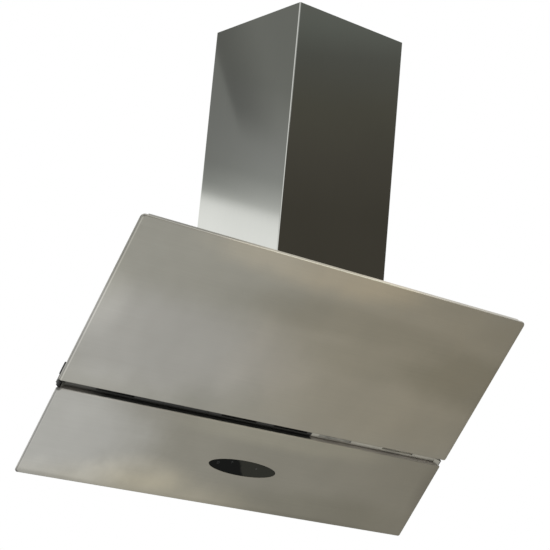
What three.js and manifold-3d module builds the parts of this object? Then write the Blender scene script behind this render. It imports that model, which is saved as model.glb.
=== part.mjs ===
// Inclined chimney range hood, in millimetres, +Z up, +Y into the wall, +X to the cook's right.
// The origin is the middle of the body's back plate, on the wall. Two tilted steel panels stand in
// front of a wedge-shaped body: the upper one is hinged along its top edge and hides the grease
// filters, the lower one is fixed and carries the touch window. The fan stands on the body inside
// a telescopic duct cover.
import * as THREE from 'three';
import { mergeVertices } from 'three/addons/utils/BufferGeometryUtils.js';
import Module from 'manifold-3d';

const wasm = await Module();
wasm.setup();

// ---- driving dimensions: panels ---------------------------------------------------------------
const PANEL_WIDTH = 900;
const PANEL_TILT = 37.1; // degrees, away from the wall
const UPPER_LENGTH = 324; // along the slope
const LOWER_LENGTH = 168;
const SUCTION_SLOT = 16; // between the two panels, along the slope
const LOWER_INSET = 4; // each side of the lower panel against the upper one
const WALL_GAP = 5; // lower panel's bottom edge to the wall
const PANEL_SHEET = 1.2;
const PANEL_FOLD = 5; // depth of the folded rim
const PANEL_BEND = 1.6; // rounding of the front edge
const TOP_CORNER = 8;
const PANEL_CORNER = 4;
const TOP_FLANGE = 10;
const BOTTOM_FLANGE = 6;
const AIR_FLANGE = 19.4; // lower panel's flange into the slot
const AIR_FLANGE_RISE = 5.3;
const FLANGE_END_GAP = 6; // flanges stop short of the rounded corners

// ---- driving dimensions: body -----------------------------------------------------------------
const BODY_WIDTH = 500;
const BODY_FOOT = 9.07; // depth of the body's lower edge, off the wall
const BODY_SHEET = 1.5;
const BODY_SETBACK = 24; // panel front to body front, square to the panel
const EDGE_RISE = 10; // panel's top edge above the body's top plate
const KEYHOLE_INSET = 60; // in from the body's side
const KEYHOLE_Z = 120;
const KEYHOLE_HEAD = 6;
const KEYHOLE_NECK = 3;
const KEYHOLE_NECK_RISE = 10;
const HANGER_WIDTH = 50;
const HANGER_HEIGHT = 56;
const HANGER_THICKNESS = 2;

// ---- driving dimensions: filters --------------------------------------------------------------
const FILTER_SIDE_ROOM = 19; // to the body's side wall
const FILTER_LENGTH = 236;
const FILTER_DEPTH = 10;
const FILTER_TOP = 60; // along the slope from the panel's top edge
const FILTER_WALL = 6;
const FILTER_LIP = 12;
const FILTER_LIP_SHEET = 1;
const FILTER_PLEATS = 18;
const FILTER_PLEAT_SHEET = 1.2;
const FILTER_TUCK = 4; // how far the bottom edge hides behind the body's lip
const FILTER_SPACING = 2;
const SEAT_WALL = 2;
const SEAT_LEDGE = 12;
const SEAT_LEDGE_SHEET = 1.5;

// ---- driving dimensions: filter latches -------------------------------------------------------
const LATCH_WIDTH = 56;
const LATCH_LENGTH = 22;
const LATCH_SHEET = 2;
const LATCH_OVERLAP = 6;
const LATCH_TRAVEL = 8;
const LATCH_RIDGE = 5;
const LATCH_GRIP_INSET = 8;
const LATCH_STEM = 7;
const LATCH_STEM_LENGTH = 4;
const LATCH_HEAD = 16;

// ---- driving dimensions: slot rail, catches and lamps -----------------------------------------
const RAIL_OVERLAP = 5.7; // behind the upper panel's bottom edge
const RAIL_GAP = 0.2; // to the lower panel's flange
const RAIL_FRONT = 8; // behind the panel's front face
const RAIL_SIDE = 11;
const RAIL_BACK = 16;
const RAIL_INSET = 6;
const RAIL_HOLE_LENGTH = 80;
const RAIL_HOLE_HEIGHT = 6;
const RAIL_HOLE_INNER_X = 60;
const RAIL_HOLE_OUTER_X = 330;
const RAIL_BRACKET_INSET = 16; // middle of the bracket, in from the body's side
const RAIL_BRACKET_WIDTH = 24;
const RAIL_BRACKET_SHEET = 1.5;
const CATCH_LENGTH = 24;
const CATCH_WIDTH = 16;
const CATCH_INSET = 4;
const CATCH_FRONT = 6; // behind the panel's front face
const STRIKE_LENGTH = 16;
const STRIKE_WIDTH = 12;
const LAMP_BRACKET_GAP = 10;
const LAMP_LENGTH = 80;
const LAMP_HEIGHT = 10;
const LAMP_LENS_DEPTH = 5;
const LAMP_BODY_MARGIN = 2;

// ---- driving dimensions: panel hinges ---------------------------------------------------------
const HINGE_INSET = 50; // in from the body's side
const HINGE_DROP = 14; // axis below the panel's top edge, along the slope
const HINGE_STANDOFF = 10; // axis in front of the body
const HINGE_BARREL = 5;
const HINGE_PIN = 2.5;
const HINGE_WIDTH = 40;
const HINGE_LEAF_WIDTH = 18;
const HINGE_SHEET = 2;
const HINGE_FOOT_LENGTH = 40;
const HINGE_BRACKET_END = 56;
const HINGE_SCREW_DROP = 46;
const HINGE_SCREW_X = 12;

// ---- driving dimensions: control window and lower panel brackets ------------------------------
const WINDOW_HALF_WIDTH = 77;
const WINDOW_HALF_HEIGHT = 15.8;
const WINDOW_RIM = 3;
const WINDOW_THICKNESS = 3.4;
const WINDOW_RECESS = 0.1;
const HOUSING_SIDE_MARGIN = 7;
const HOUSING_END_MARGIN = 7.2;
const HOUSING_WALL = 2;
const HOUSING_DEPTH = 16;
const BOARD_SIDE_ROOM = 6;
const BOARD_END_ROOM = 8;
const BOARD_THICKNESS = 1.6;
const BOARD_POST = 6;
const LOWER_BRACKET_INSET = 50; // in from the body's side
const LOWER_BRACKET_WIDTH = 24;
const LOWER_BRACKET_LENGTH = 60;
const LOWER_BRACKET_SHEET = 2;

// ---- driving dimensions: duct cover -----------------------------------------------------------
const COVER_WIDTH = 252;
const COVER_DEPTH = 248;
const COVER_BACK_GAP = 9.43; // to the wall
const COVER_RISE = 484; // above the panel's top edge
const COVER_SHEET = 1.2;
const COVER_BEND = 2.5;
const COVER_LIP = 14;
const COVER_NEST_GAP = 0.8;
const INNER_COVER_LIP = 18;
const INNER_COVER_DROP = 3; // below the outer cover's top edge
const VENT_COUNT = 5;
const VENT_LENGTH = 120;
const VENT_HEIGHT = 4;
const VENT_PITCH = 12;
const VENT_TOP = 24;
const BRACKET_SHEET = 1.5;
const OUTER_BRACKET_INSET = 9; // in from the cover's side
const INNER_BRACKET_INSET = 18;
const BRACKET_HEIGHT = 28;
const INNER_BRACKET_DROP = 34; // below the cover's top
const BRACKET_SPACING = 8;

// ---- driving dimensions: fan ------------------------------------------------------------------
const BOX_SIDE_GAP = 14; // to the cover
const BOX_FRONT_GAP = 13.43; // to the cover
const BOX_HEIGHT = 230;
const BOX_SHEET = 1.2;
const BOX_FLANGE = 8;
const BOX_BACK_GAP = 24; // to the wall
const BODY_TOP_HOLE_MARGIN = 12;
const SCROLL_FRONT_ROOM = 11.81; // in the fan box
const SCROLL_BACK_ROOM = 17;
const SCROLL_HEIGHT = 107; // shaft above the body's top plate
const SCROLL_HALF_WIDTH = 62;
const SCROLL_GROWTH = 24; // of its radius, from the tongue to the outlet
const SCROLL_WALL = 2;
const SCROLL_TONGUE = 103; // degrees
const SCROLL_STEPS = 20;
const INLET_RADIUS = 58;
const WHEEL_ROOM = 6; // in the scroll, at its tongue
const WHEEL_HALF_WIDTH = 50;
const WHEEL_DISC = 3;
const WHEEL_HUB_RADIUS = 12;
const WHEEL_HUB_LENGTH = 16;
const WHEEL_HUB_FRONT = 4.5;
const WHEEL_RING = 3;
const WHEEL_RING_WALL = 4;
const BLADE_COUNT = 24;
const BLADE_DEPTH = 13;
const BLADE_SHEET = 1.2;
const BLADE_LEAN = 25; // degrees
const MOTOR_RADIUS = 44;
const MOTOR_GAP = 0.5; // to the wheel's hub
const MOTOR_LENGTH = 70;
const MOTOR_BOSS = 12;
const MOTOR_BOSS_LENGTH = 3;
const MOTOR_CHAMFER = 6;
const SHAFT_RADIUS = 4;
const SHAFT_START = -14;
const SHAFT_DEPTH = 24; // inside the motor
const YOKE_THICKNESS = 3;
const YOKE_RING = 8;
const YOKE_ARM_WIDTH = 14;
const YOKE_REACH = 72;

// ---- driving dimensions: outlet collar and backdraft flaps ------------------------------------
const COLLAR_RADIUS = 75;
const COLLAR_WALL = 1.5;
const COLLAR_HEIGHT = 45;
const COLLAR_FLANGE = 3;
const COLLAR_FLANGE_SHEET = 2;
const COLLAR_LEDGE = 3.5;
const COLLAR_LEDGE_RISE = 9;
const COLLAR_LEDGE_SHEET = 1.5;
const FLAP_MARGIN = 2.5;
const FLAP_SHEET = 1.5;
const FLAP_HINGE_GAP = 5;
const FLAP_BARREL = 3.5;
const FLAP_BARREL_LENGTH = 24;
const FLAP_FRONT_BARREL_X = 48;
const FLAP_BACK_BARREL_X = 18;
const FLAP_PIN = 2;

// ---- driving dimensions: wiring and fasteners -------------------------------------------------
const TERMINAL_WIDTH = 48;
const TERMINAL_DEPTH = 60;
const TERMINAL_HEIGHT = 90;
const TERMINAL_WALL = 2;
const TERMINAL_TOP = 150;
const TERMINAL_BACK = 30;
const TERMINAL_CABLE_HOLE = 6;
const CAPACITOR_GAP = 5; // to the hanger plate
const CAPACITOR_RADIUS = 17;
const CAPACITOR_LENGTH = 60;
const CAPACITOR_MIDDLE = 110;
const SADDLE_WIDTH = 20;
const SADDLE_DEPTH = 8;
const SADDLE_HEIGHT = 40;
const GLAND_X = -85;
const GLAND_FRONT = 29; // behind the fan box's front
const GLAND_BORE = 4;
const GLAND_THREAD = 8;
const GLAND_NUT = 11;
const GLAND_HEIGHT = 14;
const GLAND_BELOW = 8;
const SCREW_SHANK = 2;
const SCREW_HEAD = 3.5;
const SCREW_HEAD_HEIGHT = 2.2;
const SCREW_LENGTH = 8;

// ---- clearances -------------------------------------------------------------------------------
const SEAT = 0.3; // between fixed pieces
const RUN = 0.1; // radial, of a turning fit
const CUT = 5; // overshoot of a cutting tool

// ---- places worked out from the dimensions ----------------------------------------------------
const SIN = Math.sin(THREE.MathUtils.degToRad(PANEL_TILT));
const COS = Math.cos(THREE.MathUtils.degToRad(PANEL_TILT));
const LOWER_TOP = UPPER_LENGTH + SUCTION_SLOT;
const SLOPE_LENGTH = LOWER_TOP + LOWER_LENGTH;
const KEYHOLE_X = BODY_WIDTH / 2 - KEYHOLE_INSET;
const HINGE_X = BODY_WIDTH / 2 - HINGE_INSET;
const HINGE_DEPTH = BODY_SETBACK - HINGE_STANDOFF;
const LOWER_BRACKET_X = BODY_WIDTH / 2 - LOWER_BRACKET_INSET;
const FILTER_WIDTH = BODY_WIDTH / 2 - FILTER_SIDE_ROOM - FILTER_SPACING / 2;
const RAIL_BRACKET_X = BODY_WIDTH / 2 - RAIL_BRACKET_INSET;
const LAMP_REACH = LAMP_LENGTH / 2 + LAMP_BODY_MARGIN + LAMP_BRACKET_GAP;
const LAMP_X = RAIL_BRACKET_X - RAIL_BRACKET_WIDTH / 2 - LAMP_REACH;
const HOUSING_HALF_WIDTH = WINDOW_HALF_WIDTH + HOUSING_SIDE_MARGIN;
const HOUSING_HALF_HEIGHT = WINDOW_HALF_HEIGHT + HOUSING_END_MARGIN;
const BOARD_HALF_WIDTH = HOUSING_HALF_WIDTH - HOUSING_WALL - BOARD_SIDE_ROOM;
const BOARD_HALF_HEIGHT = HOUSING_HALF_HEIGHT - HOUSING_WALL - BOARD_END_ROOM;
const CAPACITOR_X = KEYHOLE_X - HANGER_WIDTH / 2 - CAPACITOR_GAP - SADDLE_WIDTH / 2;
const RAIL_TOP = UPPER_LENGTH - RAIL_OVERLAP;
const RAIL_HEIGHT = LOWER_TOP - AIR_FLANGE_RISE - RAIL_GAP - RAIL_TOP;
const EDGE_Y = -(WALL_GAP + SLOPE_LENGTH * SIN);
const BODY_SLOPE = (-BODY_FOOT - EDGE_Y - BODY_SETBACK * COS) / SIN;
const BODY_HEIGHT = BODY_SLOPE * COS - EDGE_RISE - BODY_SETBACK * SIN;
const BODY_TOP = BODY_HEIGHT / 2;
const BODY_BOTTOM = -BODY_HEIGHT / 2;
const EDGE_Z = BODY_TOP + EDGE_RISE;
const SLOPE_PLACE = new THREE.Matrix4()
  .makeRotationX(Math.PI / 2 + THREE.MathUtils.degToRad(PANEL_TILT))
  .setPosition(0, EDGE_Y, EDGE_Z);
const PANEL_BACK = -(PANEL_SHEET + SEAT);
const BODY_FACE = -(BODY_SETBACK - SEAT);
const BODY_INSIDE = -(BODY_SETBACK + BODY_SHEET);
const COVER_BACK = -COVER_BACK_GAP;
const COVER_FRONT = COVER_BACK - COVER_DEPTH;
const COVER_TOP = EDGE_Z + COVER_RISE;
const BOX_BACK = -BOX_BACK_GAP;
const BOX_FRONT = COVER_FRONT + BOX_FRONT_GAP;
const BOX_HALF_WIDTH = COVER_WIDTH / 2 - BOX_SIDE_GAP;
const BOX_TOP = BODY_TOP + BOX_HEIGHT;
const BOX_MIDDLE = (BOX_FRONT + BOX_BACK) / 2;
const SCROLL_FRONT_SHARE = (180 - SCROLL_TONGUE) / (360 - SCROLL_TONGUE); // of its growth
const SCROLL_SPAN = BOX_BACK - BOX_FRONT - SCROLL_FRONT_ROOM - SCROLL_BACK_ROOM;
const SCROLL_START_RADIUS = (SCROLL_SPAN - SCROLL_GROWTH * (1 + SCROLL_FRONT_SHARE)) / 2;
const SCROLL_END_RADIUS = SCROLL_START_RADIUS + SCROLL_GROWTH;
const WHEEL_RADIUS = SCROLL_START_RADIUS - WHEEL_ROOM;
const MOTOR_START = WHEEL_HUB_FRONT + MOTOR_GAP + MOTOR_BOSS_LENGTH;
const SCROLL_Y = BOX_BACK - SCROLL_BACK_ROOM - SCROLL_END_RADIUS;
const SCROLL_Z = BODY_TOP + SCROLL_HEIGHT;
const TONGUE_Y = SCROLL_START_RADIUS * Math.cos(THREE.MathUtils.degToRad(SCROLL_TONGUE));
const OUTLET_Y = SCROLL_Y + (SCROLL_END_RADIUS + TONGUE_Y) / 2;
const FLAP_Z = BOX_TOP + COLLAR_LEDGE_RISE + COLLAR_LEDGE_SHEET + SEAT + FLAP_SHEET / 2;
const BOX_SCREW_X = BOX_HALF_WIDTH + BOX_FLANGE / 2;
const SIDES = [['left', -1], ['right', 1]];

// ---- solids: geometry in, geometry out --------------------------------------------------------
function toSolid(geometry) {
  const bare = geometry.clone();
  bare.deleteAttribute('normal');
  bare.deleteAttribute('uv');
  const welded = mergeVertices(bare, 1e-4);
  const mesh = new wasm.Mesh({
    numProp: 3,
    vertProperties: Float32Array.from(welded.attributes.position.array),
    triVerts: Uint32Array.from(welded.index.array),
  });
  return new wasm.Manifold(mesh);
}

function toGeometry(solid) {
  const { vertProperties, triVerts } = solid.getMesh();
  const geometry = new THREE.BufferGeometry();
  geometry.setAttribute('position', new THREE.BufferAttribute(vertProperties, 3));
  geometry.setIndex(new THREE.BufferAttribute(triVerts, 1));
  geometry.computeVertexNormals();
  return geometry;
}

function join(...geometries) {
  return toGeometry(geometries.map(toSolid).reduce((whole, piece) => whole.add(piece)));
}

function cut(geometry, ...tools) {
  const solid = toSolid(geometry);
  return toGeometry(tools.map(toSolid).reduce((rest, tool) => rest.subtract(tool), solid));
}

// ---- shapes -----------------------------------------------------------------------------------
function box(x0, x1, y0, y1, z0, z1) {
  const geometry = new THREE.BoxGeometry(x1 - x0, y1 - y0, z1 - z0);
  return geometry.translate((x0 + x1) / 2, (y0 + y1) / 2, (z0 + z1) / 2);
}

// A box on the slope: x across, from s0 to s1 down the slope, from w0 to w1 out of the panel's face.
function slopeBox(x0, x1, s0, s1, w0, w1) {
  return box(x0, x1, -s1, -s0, w0, w1);
}

function cylinderX(radius, x0, x1, y, z, steps) {
  const geometry = new THREE.CylinderGeometry(radius, radius, x1 - x0, steps).rotateZ(-Math.PI / 2);
  return geometry.translate((x0 + x1) / 2, y, z);
}

function cylinderY(radius, y0, y1, x, z, steps) {
  const geometry = new THREE.CylinderGeometry(radius, radius, y1 - y0, steps);
  return geometry.translate(x, (y0 + y1) / 2, z);
}

function cylinderZ(radius, z0, z1, x, y, steps) {
  const geometry = new THREE.CylinderGeometry(radius, radius, z1 - z0, steps).rotateX(Math.PI / 2);
  return geometry.translate(x, y, (z0 + z1) / 2);
}

// A shape drawn in (x, y), raised from z0 to z1.
function extrudeZ(shape, z0, z1, curveSegments = 4) {
  const options = { depth: z1 - z0, bevelEnabled: false, curveSegments };
  return new THREE.ExtrudeGeometry(shape, options).translate(0, 0, z0);
}

// A shape drawn in (y, z), run along x from x0 to x1.
function extrudeX(shape, x0, x1) {
  const turn = new THREE.Matrix4().makeBasis(
    new THREE.Vector3(0, 1, 0),
    new THREE.Vector3(0, 0, 1),
    new THREE.Vector3(1, 0, 0),
  );
  return extrudeZ(shape, 0, x1 - x0).applyMatrix4(turn).translate(x0, 0, 0);
}

function polygon(points) {
  return new THREE.Shape(points.map(([x, y]) => new THREE.Vector2(x, y)));
}

// A profile of (radius, height) points turned about +Z.
function turned(points, steps) {
  const profile = points.map(([radius, height]) => new THREE.Vector2(radius, height));
  profile.push(profile[0].clone());
  return new THREE.LatheGeometry(profile, steps).rotateX(Math.PI / 2);
}

function ellipse(halfWidth, halfHeight, middle, w0, w1) {
  const shape = new THREE.Shape();
  shape.absellipse(0, -middle, halfWidth, halfHeight, 0, 2 * Math.PI, false, 0);
  return extrudeZ(shape, w0, w1, 20);
}

// A panel's outline: top and bottom are distances down the slope.
function panelOutline(halfWidth, top, bottom, topCorner, bottomCorner) {
  const shape = new THREE.Shape();
  const right = halfWidth;
  shape.moveTo(-right + bottomCorner, -bottom);
  shape.lineTo(right - bottomCorner, -bottom);
  shape.absarc(right - bottomCorner, -bottom + bottomCorner, bottomCorner, -Math.PI / 2, 0);
  shape.lineTo(right, -top - topCorner);
  shape.absarc(right - topCorner, -top - topCorner, topCorner, 0, Math.PI / 2);
  shape.lineTo(-right + topCorner, -top);
  shape.absarc(-right + topCorner, -top - topCorner, topCorner, Math.PI / 2, Math.PI);
  shape.lineTo(-right, -bottom + bottomCorner);
  shape.absarc(-right + bottomCorner, -bottom + bottomCorner, bottomCorner, Math.PI, Math.PI * 1.5);
  return shape;
}

// A shallow tray with its front edge rounded, its rim folded back by PANEL_FOLD.
function tray(halfWidth, top, bottom, topCorner) {
  const bend = PANEL_BEND;
  const core = panelOutline(
    halfWidth - bend,
    top + bend,
    bottom - bend,
    topCorner - bend,
    PANEL_CORNER - bend,
  );
  const rounded = new THREE.ExtrudeGeometry(core, {
    depth: 2 * PANEL_FOLD,
    bevelThickness: bend,
    bevelSize: bend,
    bevelSegments: 2,
    curveSegments: 3,
  }).translate(0, 0, -2 * PANEL_FOLD - bend);
  const beyond = [-PANEL_WIDTH, PANEL_WIDTH, top - CUT, bottom + CUT];
  const behind = slopeBox(...beyond, -6 * PANEL_FOLD, -PANEL_FOLD);
  const pocket = extrudeZ(
    panelOutline(
      halfWidth - PANEL_SHEET,
      top + PANEL_SHEET,
      bottom - PANEL_SHEET,
      topCorner - PANEL_SHEET,
      PANEL_CORNER - PANEL_SHEET,
    ),
    -6 * PANEL_FOLD,
    -PANEL_SHEET,
    3,
  );
  return cut(rounded, behind, pocket);
}

// Where the body's tilted front stands at a height, for a face set back behind the panels.
function frontAt(height, setback) {
  const s = (EDGE_Z - height + setback * SIN) / COS;
  return EDGE_Y + s * SIN + setback * COS;
}

// ---- parts ------------------------------------------------------------------------------------
const FINISHES = {
  panelSteel: { color: 0xa5a598, roughness: 0.38, metalness: 1 },
  coverSteel: { color: 0x8c8d84, roughness: 0.2, metalness: 1 },
  galvanised: { color: 0x9da2a4, roughness: 0.5, metalness: 0.9 },
  blackPaint: { color: 0x1c1c1a, roughness: 0.45, metalness: 0.2 },
  zincPlate: { color: 0xb4b6b4, roughness: 0.35, metalness: 1 },
  aluminium: { color: 0xb9bbbc, roughness: 0.4, metalness: 1 },
  blackPlastic: { color: 0x161616, roughness: 0.55, metalness: 0 },
  greyPlastic: { color: 0x6d6f70, roughness: 0.6, metalness: 0 },
  darkGlass: { color: 0x101210, roughness: 0.08, metalness: 0 },
  board: { color: 0x1f5a38, roughness: 0.6, metalness: 0 },
  diffuser: { color: 0x8f8878, roughness: 0.35, metalness: 0 },
};

function add(group, name, finish, geometry) {
  const mesh = new THREE.Mesh(geometry, new THREE.MeshStandardMaterial(FINISHES[finish]));
  mesh.name = name;
  group.add(mesh);
}

function keyhole(x, thickness) {
  const through = [-thickness - CUT, CUT];
  const head = cylinderY(KEYHOLE_HEAD, ...through, x, KEYHOLE_Z, 16);
  const top = KEYHOLE_Z + KEYHOLE_NECK_RISE;
  const neck = box(x - KEYHOLE_NECK, x + KEYHOLE_NECK, ...through, KEYHOLE_Z, top);
  return join(head, neck, cylinderY(KEYHOLE_NECK, ...through, x, top, 12));
}

function bodyWedge(sheet, halfWidth) {
  const setback = BODY_SETBACK + sheet;
  const low = BODY_BOTTOM + sheet;
  const high = BODY_TOP - sheet;
  const outline = polygon([
    [-sheet, low],
    [-sheet, high],
    [frontAt(high, setback), high],
    [frontAt(low, setback), low],
  ]);
  return extrudeX(outline, -halfWidth, halfWidth);
}

function latchSlot(x) {
  const head = FILTER_TOP + LATCH_OVERLAP - LATCH_LENGTH;
  const low = head + LATCH_LENGTH / 2 - LATCH_STEM_LENGTH / 2 - LATCH_TRAVEL - 2;
  const high = head + LATCH_LENGTH / 2 + LATCH_STEM_LENGTH / 2 - 1;
  const half = LATCH_STEM / 2 + SEAT;
  return slopeBox(x - half, x + half, low, high, BODY_INSIDE - CUT, BODY_FACE + CUT);
}

function filterX(sign) {
  return sign * (FILTER_WIDTH + FILTER_SPACING) / 2;
}

function hingeScrewPlaces() {
  const across = [-HINGE_SCREW_X, HINGE_SCREW_X];
  return SIDES.flatMap(([, sign]) => across.map((offset) => sign * HINGE_X + offset));
}

function boxScrewPlaces() {
  return [[-BOX_SCREW_X, BOX_MIDDLE], [BOX_SCREW_X, BOX_MIDDLE]];
}

function bodyShell() {
  const openWidth = FILTER_WIDTH + FILTER_SPACING;
  const openBottom = FILTER_TOP + FILTER_LENGTH - FILTER_TUCK;
  const through = [BODY_INSIDE - CUT, BODY_FACE + CUT];
  const screwHole = (x) => cylinderZ(SCREW_SHANK + SEAT, ...through, x, -HINGE_SCREW_DROP, 10);
  const onSlope = [
    slopeBox(-openWidth, openWidth, FILTER_TOP - 2, openBottom, ...through),
    ...SIDES.map(([, sign]) => latchSlot(filterX(sign))),
    ...hingeScrewPlaces().map(screwHole),
  ].map((tool) => tool.applyMatrix4(SLOPE_PLACE));
  const margin = BODY_TOP_HOLE_MARGIN;
  const holeX = BOX_HALF_WIDTH - margin;
  const plate = [BODY_TOP - BODY_SHEET - CUT, BODY_TOP + CUT];
  const fanHole = box(-holeX, holeX, BOX_FRONT + margin, BOX_BACK - margin, ...plate);
  return cut(
    bodyWedge(0, BODY_WIDTH / 2),
    bodyWedge(BODY_SHEET, BODY_WIDTH / 2 - BODY_SHEET),
    fanHole,
    ...onSlope,
    ...SIDES.map(([, sign]) => keyhole(sign * KEYHOLE_X, BODY_SHEET)),
    ...boxScrewPlaces().map(([x, y]) => cylinderZ(SCREW_SHANK + SEAT, ...plate, x, y, 10)),
  );
}

function hangerPlate(sign) {
  const x = sign * KEYHOLE_X;
  const y = -(BODY_SHEET + SEAT);
  const low = KEYHOLE_Z - HANGER_HEIGHT / 2;
  const halfWidth = HANGER_WIDTH / 2;
  const plate = box(x - halfWidth, x + halfWidth, y - HANGER_THICKNESS, y, low, low + HANGER_HEIGHT);
  return cut(plate, keyhole(x, HANGER_THICKNESS + BODY_SHEET));
}

function filterSeat() {
  const gap = 2;
  const halfWidth = FILTER_WIDTH + FILTER_SPACING / 2 + gap;
  const top = FILTER_TOP - gap;
  const bottom = FILTER_TOP + FILTER_LENGTH + gap;
  const front = BODY_INSIDE - SEAT;
  const ledge = front - FILTER_DEPTH - 2 * SEAT;
  const back = ledge - SEAT_LEDGE_SHEET;
  const wall = SEAT_WALL;
  const block = slopeBox(-halfWidth - wall, halfWidth + wall, top - wall, bottom + wall, back, front);
  const pocket = slopeBox(-halfWidth, halfWidth, top, bottom, ledge, front + CUT);
  const innerX = halfWidth - SEAT_LEDGE;
  const bar = SEAT_LEDGE / 2;
  const windows = SIDES.map(([, sign]) => {
    const [x0, x1] = sign < 0 ? [-innerX, -bar] : [bar, innerX];
    return slopeBox(x0, x1, top + SEAT_LEDGE, bottom - SEAT_LEDGE, back - CUT, ledge + CUT);
  });
  return cut(block, pocket, ...windows);
}

function filterFront() {
  return BODY_INSIDE - 2 * SEAT;
}

function filterFrame(sign) {
  const x = filterX(sign);
  const half = FILTER_WIDTH / 2;
  const top = FILTER_TOP;
  const bottom = FILTER_TOP + FILTER_LENGTH;
  const front = filterFront();
  const back = front - FILTER_DEPTH;
  const block = slopeBox(x - half, x + half, top, bottom, back, front);
  const wall = FILTER_WALL;
  const lip = FILTER_LIP_SHEET;
  const inside = [x - half + wall, x + half - wall, top + wall, bottom - wall];
  const groove = slopeBox(...inside, back + lip, front - lip);
  const edge = FILTER_LIP;
  const window = [top + edge, bottom - edge, back - CUT, front + CUT];
  return cut(block, groove, slopeBox(x - half + edge, x + half - edge, ...window));
}

// A pleated sheet: the pleats run across the filter.
function filterMesh(sign) {
  const x = filterX(sign);
  const half = FILTER_WIDTH / 2 - FILTER_WALL - SEAT;
  const top = FILTER_TOP + FILTER_WALL + SEAT;
  const length = FILTER_LENGTH - 2 * (FILTER_WALL + SEAT);
  const high = filterFront() - FILTER_LIP_SHEET - SEAT;
  const low = filterFront() - FILTER_DEPTH + FILTER_LIP_SHEET + SEAT;
  const folds = Array.from({ length: 2 * FILTER_PLEATS + 1 }, (_, i) => {
    const s = top + (length * i) / (2 * FILTER_PLEATS);
    return { s, low: i % 2 === 0 ? low : high - FILTER_PLEAT_SHEET };
  });
  const under = folds.map((fold) => [-fold.s, fold.low]);
  const over = folds.map((fold) => [-fold.s, fold.low + FILTER_PLEAT_SHEET]).reverse();
  return extrudeX(polygon([...under, ...over]), x - half, x + half);
}

function filterLatch(sign) {
  const x = filterX(sign);
  const half = LATCH_WIDTH / 2;
  const bottom = FILTER_TOP + LATCH_OVERLAP;
  const top = bottom - LATCH_LENGTH;
  const middle = (top + bottom) / 2;
  const face = BODY_FACE + LATCH_SHEET;
  const plate = slopeBox(x - half, x + half, top, bottom, BODY_FACE, face);
  const grip = half - LATCH_GRIP_INSET;
  const ridge = slopeBox(x - grip, x + grip, top + 2, top + 2 + LATCH_RIDGE, face, face + LATCH_RIDGE);
  const stemTop = middle - LATCH_STEM_LENGTH / 2 - 2;
  const stemHalf = LATCH_STEM / 2;
  const inside = BODY_INSIDE - SEAT;
  const stemEnd = stemTop + LATCH_STEM_LENGTH;
  const stem = slopeBox(x - stemHalf, x + stemHalf, stemTop, stemEnd, inside, BODY_FACE);
  const headHalf = LATCH_HEAD / 2;
  const head = slopeBox(x - headHalf, x + headHalf, stemTop, stemEnd, inside - LATCH_SHEET, inside);
  return join(plate, ridge, stem, head);
}

function slotRail() {
  const half = PANEL_WIDTH / 2 - RAIL_INSET;
  const top = -RAIL_TOP;
  const bottom = top - RAIL_HEIGHT;
  const middle = (top + bottom) / 2;
  const outline = new THREE.Shape();
  outline.moveTo(top, -RAIL_BACK);
  outline.lineTo(top, -RAIL_SIDE);
  outline.quadraticCurveTo(top, -RAIL_FRONT, middle, -RAIL_FRONT);
  outline.quadraticCurveTo(bottom, -RAIL_FRONT, bottom, -RAIL_SIDE);
  outline.lineTo(bottom, -RAIL_BACK);
  const through = [-RAIL_BACK - CUT, -RAIL_FRONT + CUT];
  const holes = [RAIL_HOLE_INNER_X, RAIL_HOLE_OUTER_X].flatMap((offset) =>
    SIDES.map(([, sign]) => {
      const x0 = sign * offset - RAIL_HOLE_LENGTH / 2;
      const s0 = -middle - RAIL_HOLE_HEIGHT / 2;
      return slopeBox(x0, x0 + RAIL_HOLE_LENGTH, s0, s0 + RAIL_HOLE_HEIGHT, ...through);
    }),
  );
  const windows = SIDES.map(([, sign]) => lampBlock(sign, 0, ...through));
  return cut(extrudeX(outline, -half, half), ...holes, ...windows);
}

// A block in line with a lamp window, smaller than it by the margin all round.
function lampBlock(sign, margin, w0, w1) {
  const middle = RAIL_TOP + RAIL_HEIGHT / 2;
  const halfX = LAMP_LENGTH / 2 - margin;
  const halfS = LAMP_HEIGHT / 2 - margin;
  const x = sign * LAMP_X;
  return slopeBox(x - halfX, x + halfX, middle - halfS, middle + halfS, w0, w1);
}

function lampLens(sign) {
  const front = -RAIL_FRONT - 2 * SEAT;
  return lampBlock(sign, SEAT, front - LAMP_LENS_DEPTH, front);
}

function lampBody(sign) {
  const boss = -RAIL_FRONT - 3 * SEAT - LAMP_LENS_DEPTH;
  const block = lampBlock(sign, -LAMP_BODY_MARGIN, BODY_FACE, -RAIL_BACK - SEAT);
  return join(block, lampBlock(sign, SEAT, -RAIL_BACK - 1, boss));
}

function railBracket(sign) {
  const x0 = sign * RAIL_BRACKET_X - RAIL_BRACKET_WIDTH / 2;
  const x1 = x0 + RAIL_BRACKET_WIDTH;
  const top = RAIL_TOP + 1;
  const bottom = RAIL_TOP + RAIL_HEIGHT - 1;
  const front = -RAIL_BACK - SEAT;
  const sheet = RAIL_BRACKET_SHEET;
  const block = slopeBox(x0, x1, top, bottom, BODY_FACE, front);
  const hollow = [top + sheet, bottom - sheet, BODY_FACE + sheet, front - sheet];
  return cut(block, slopeBox(x0 - CUT, x1 + CUT, ...hollow));
}

// From the panel's side edge inwards, on one side of the hood.
function sideSpan(sign, inset, width) {
  const outer = sign * (PANEL_WIDTH / 2 - inset);
  return [outer, outer - sign * width].sort((a, b) => a - b);
}

function panelCatch(sign) {
  const bottom = RAIL_TOP - SEAT;
  const span = sideSpan(sign, CATCH_INSET, CATCH_WIDTH);
  return slopeBox(...span, bottom - CATCH_LENGTH, bottom, -RAIL_BACK, -CATCH_FRONT);
}

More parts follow.
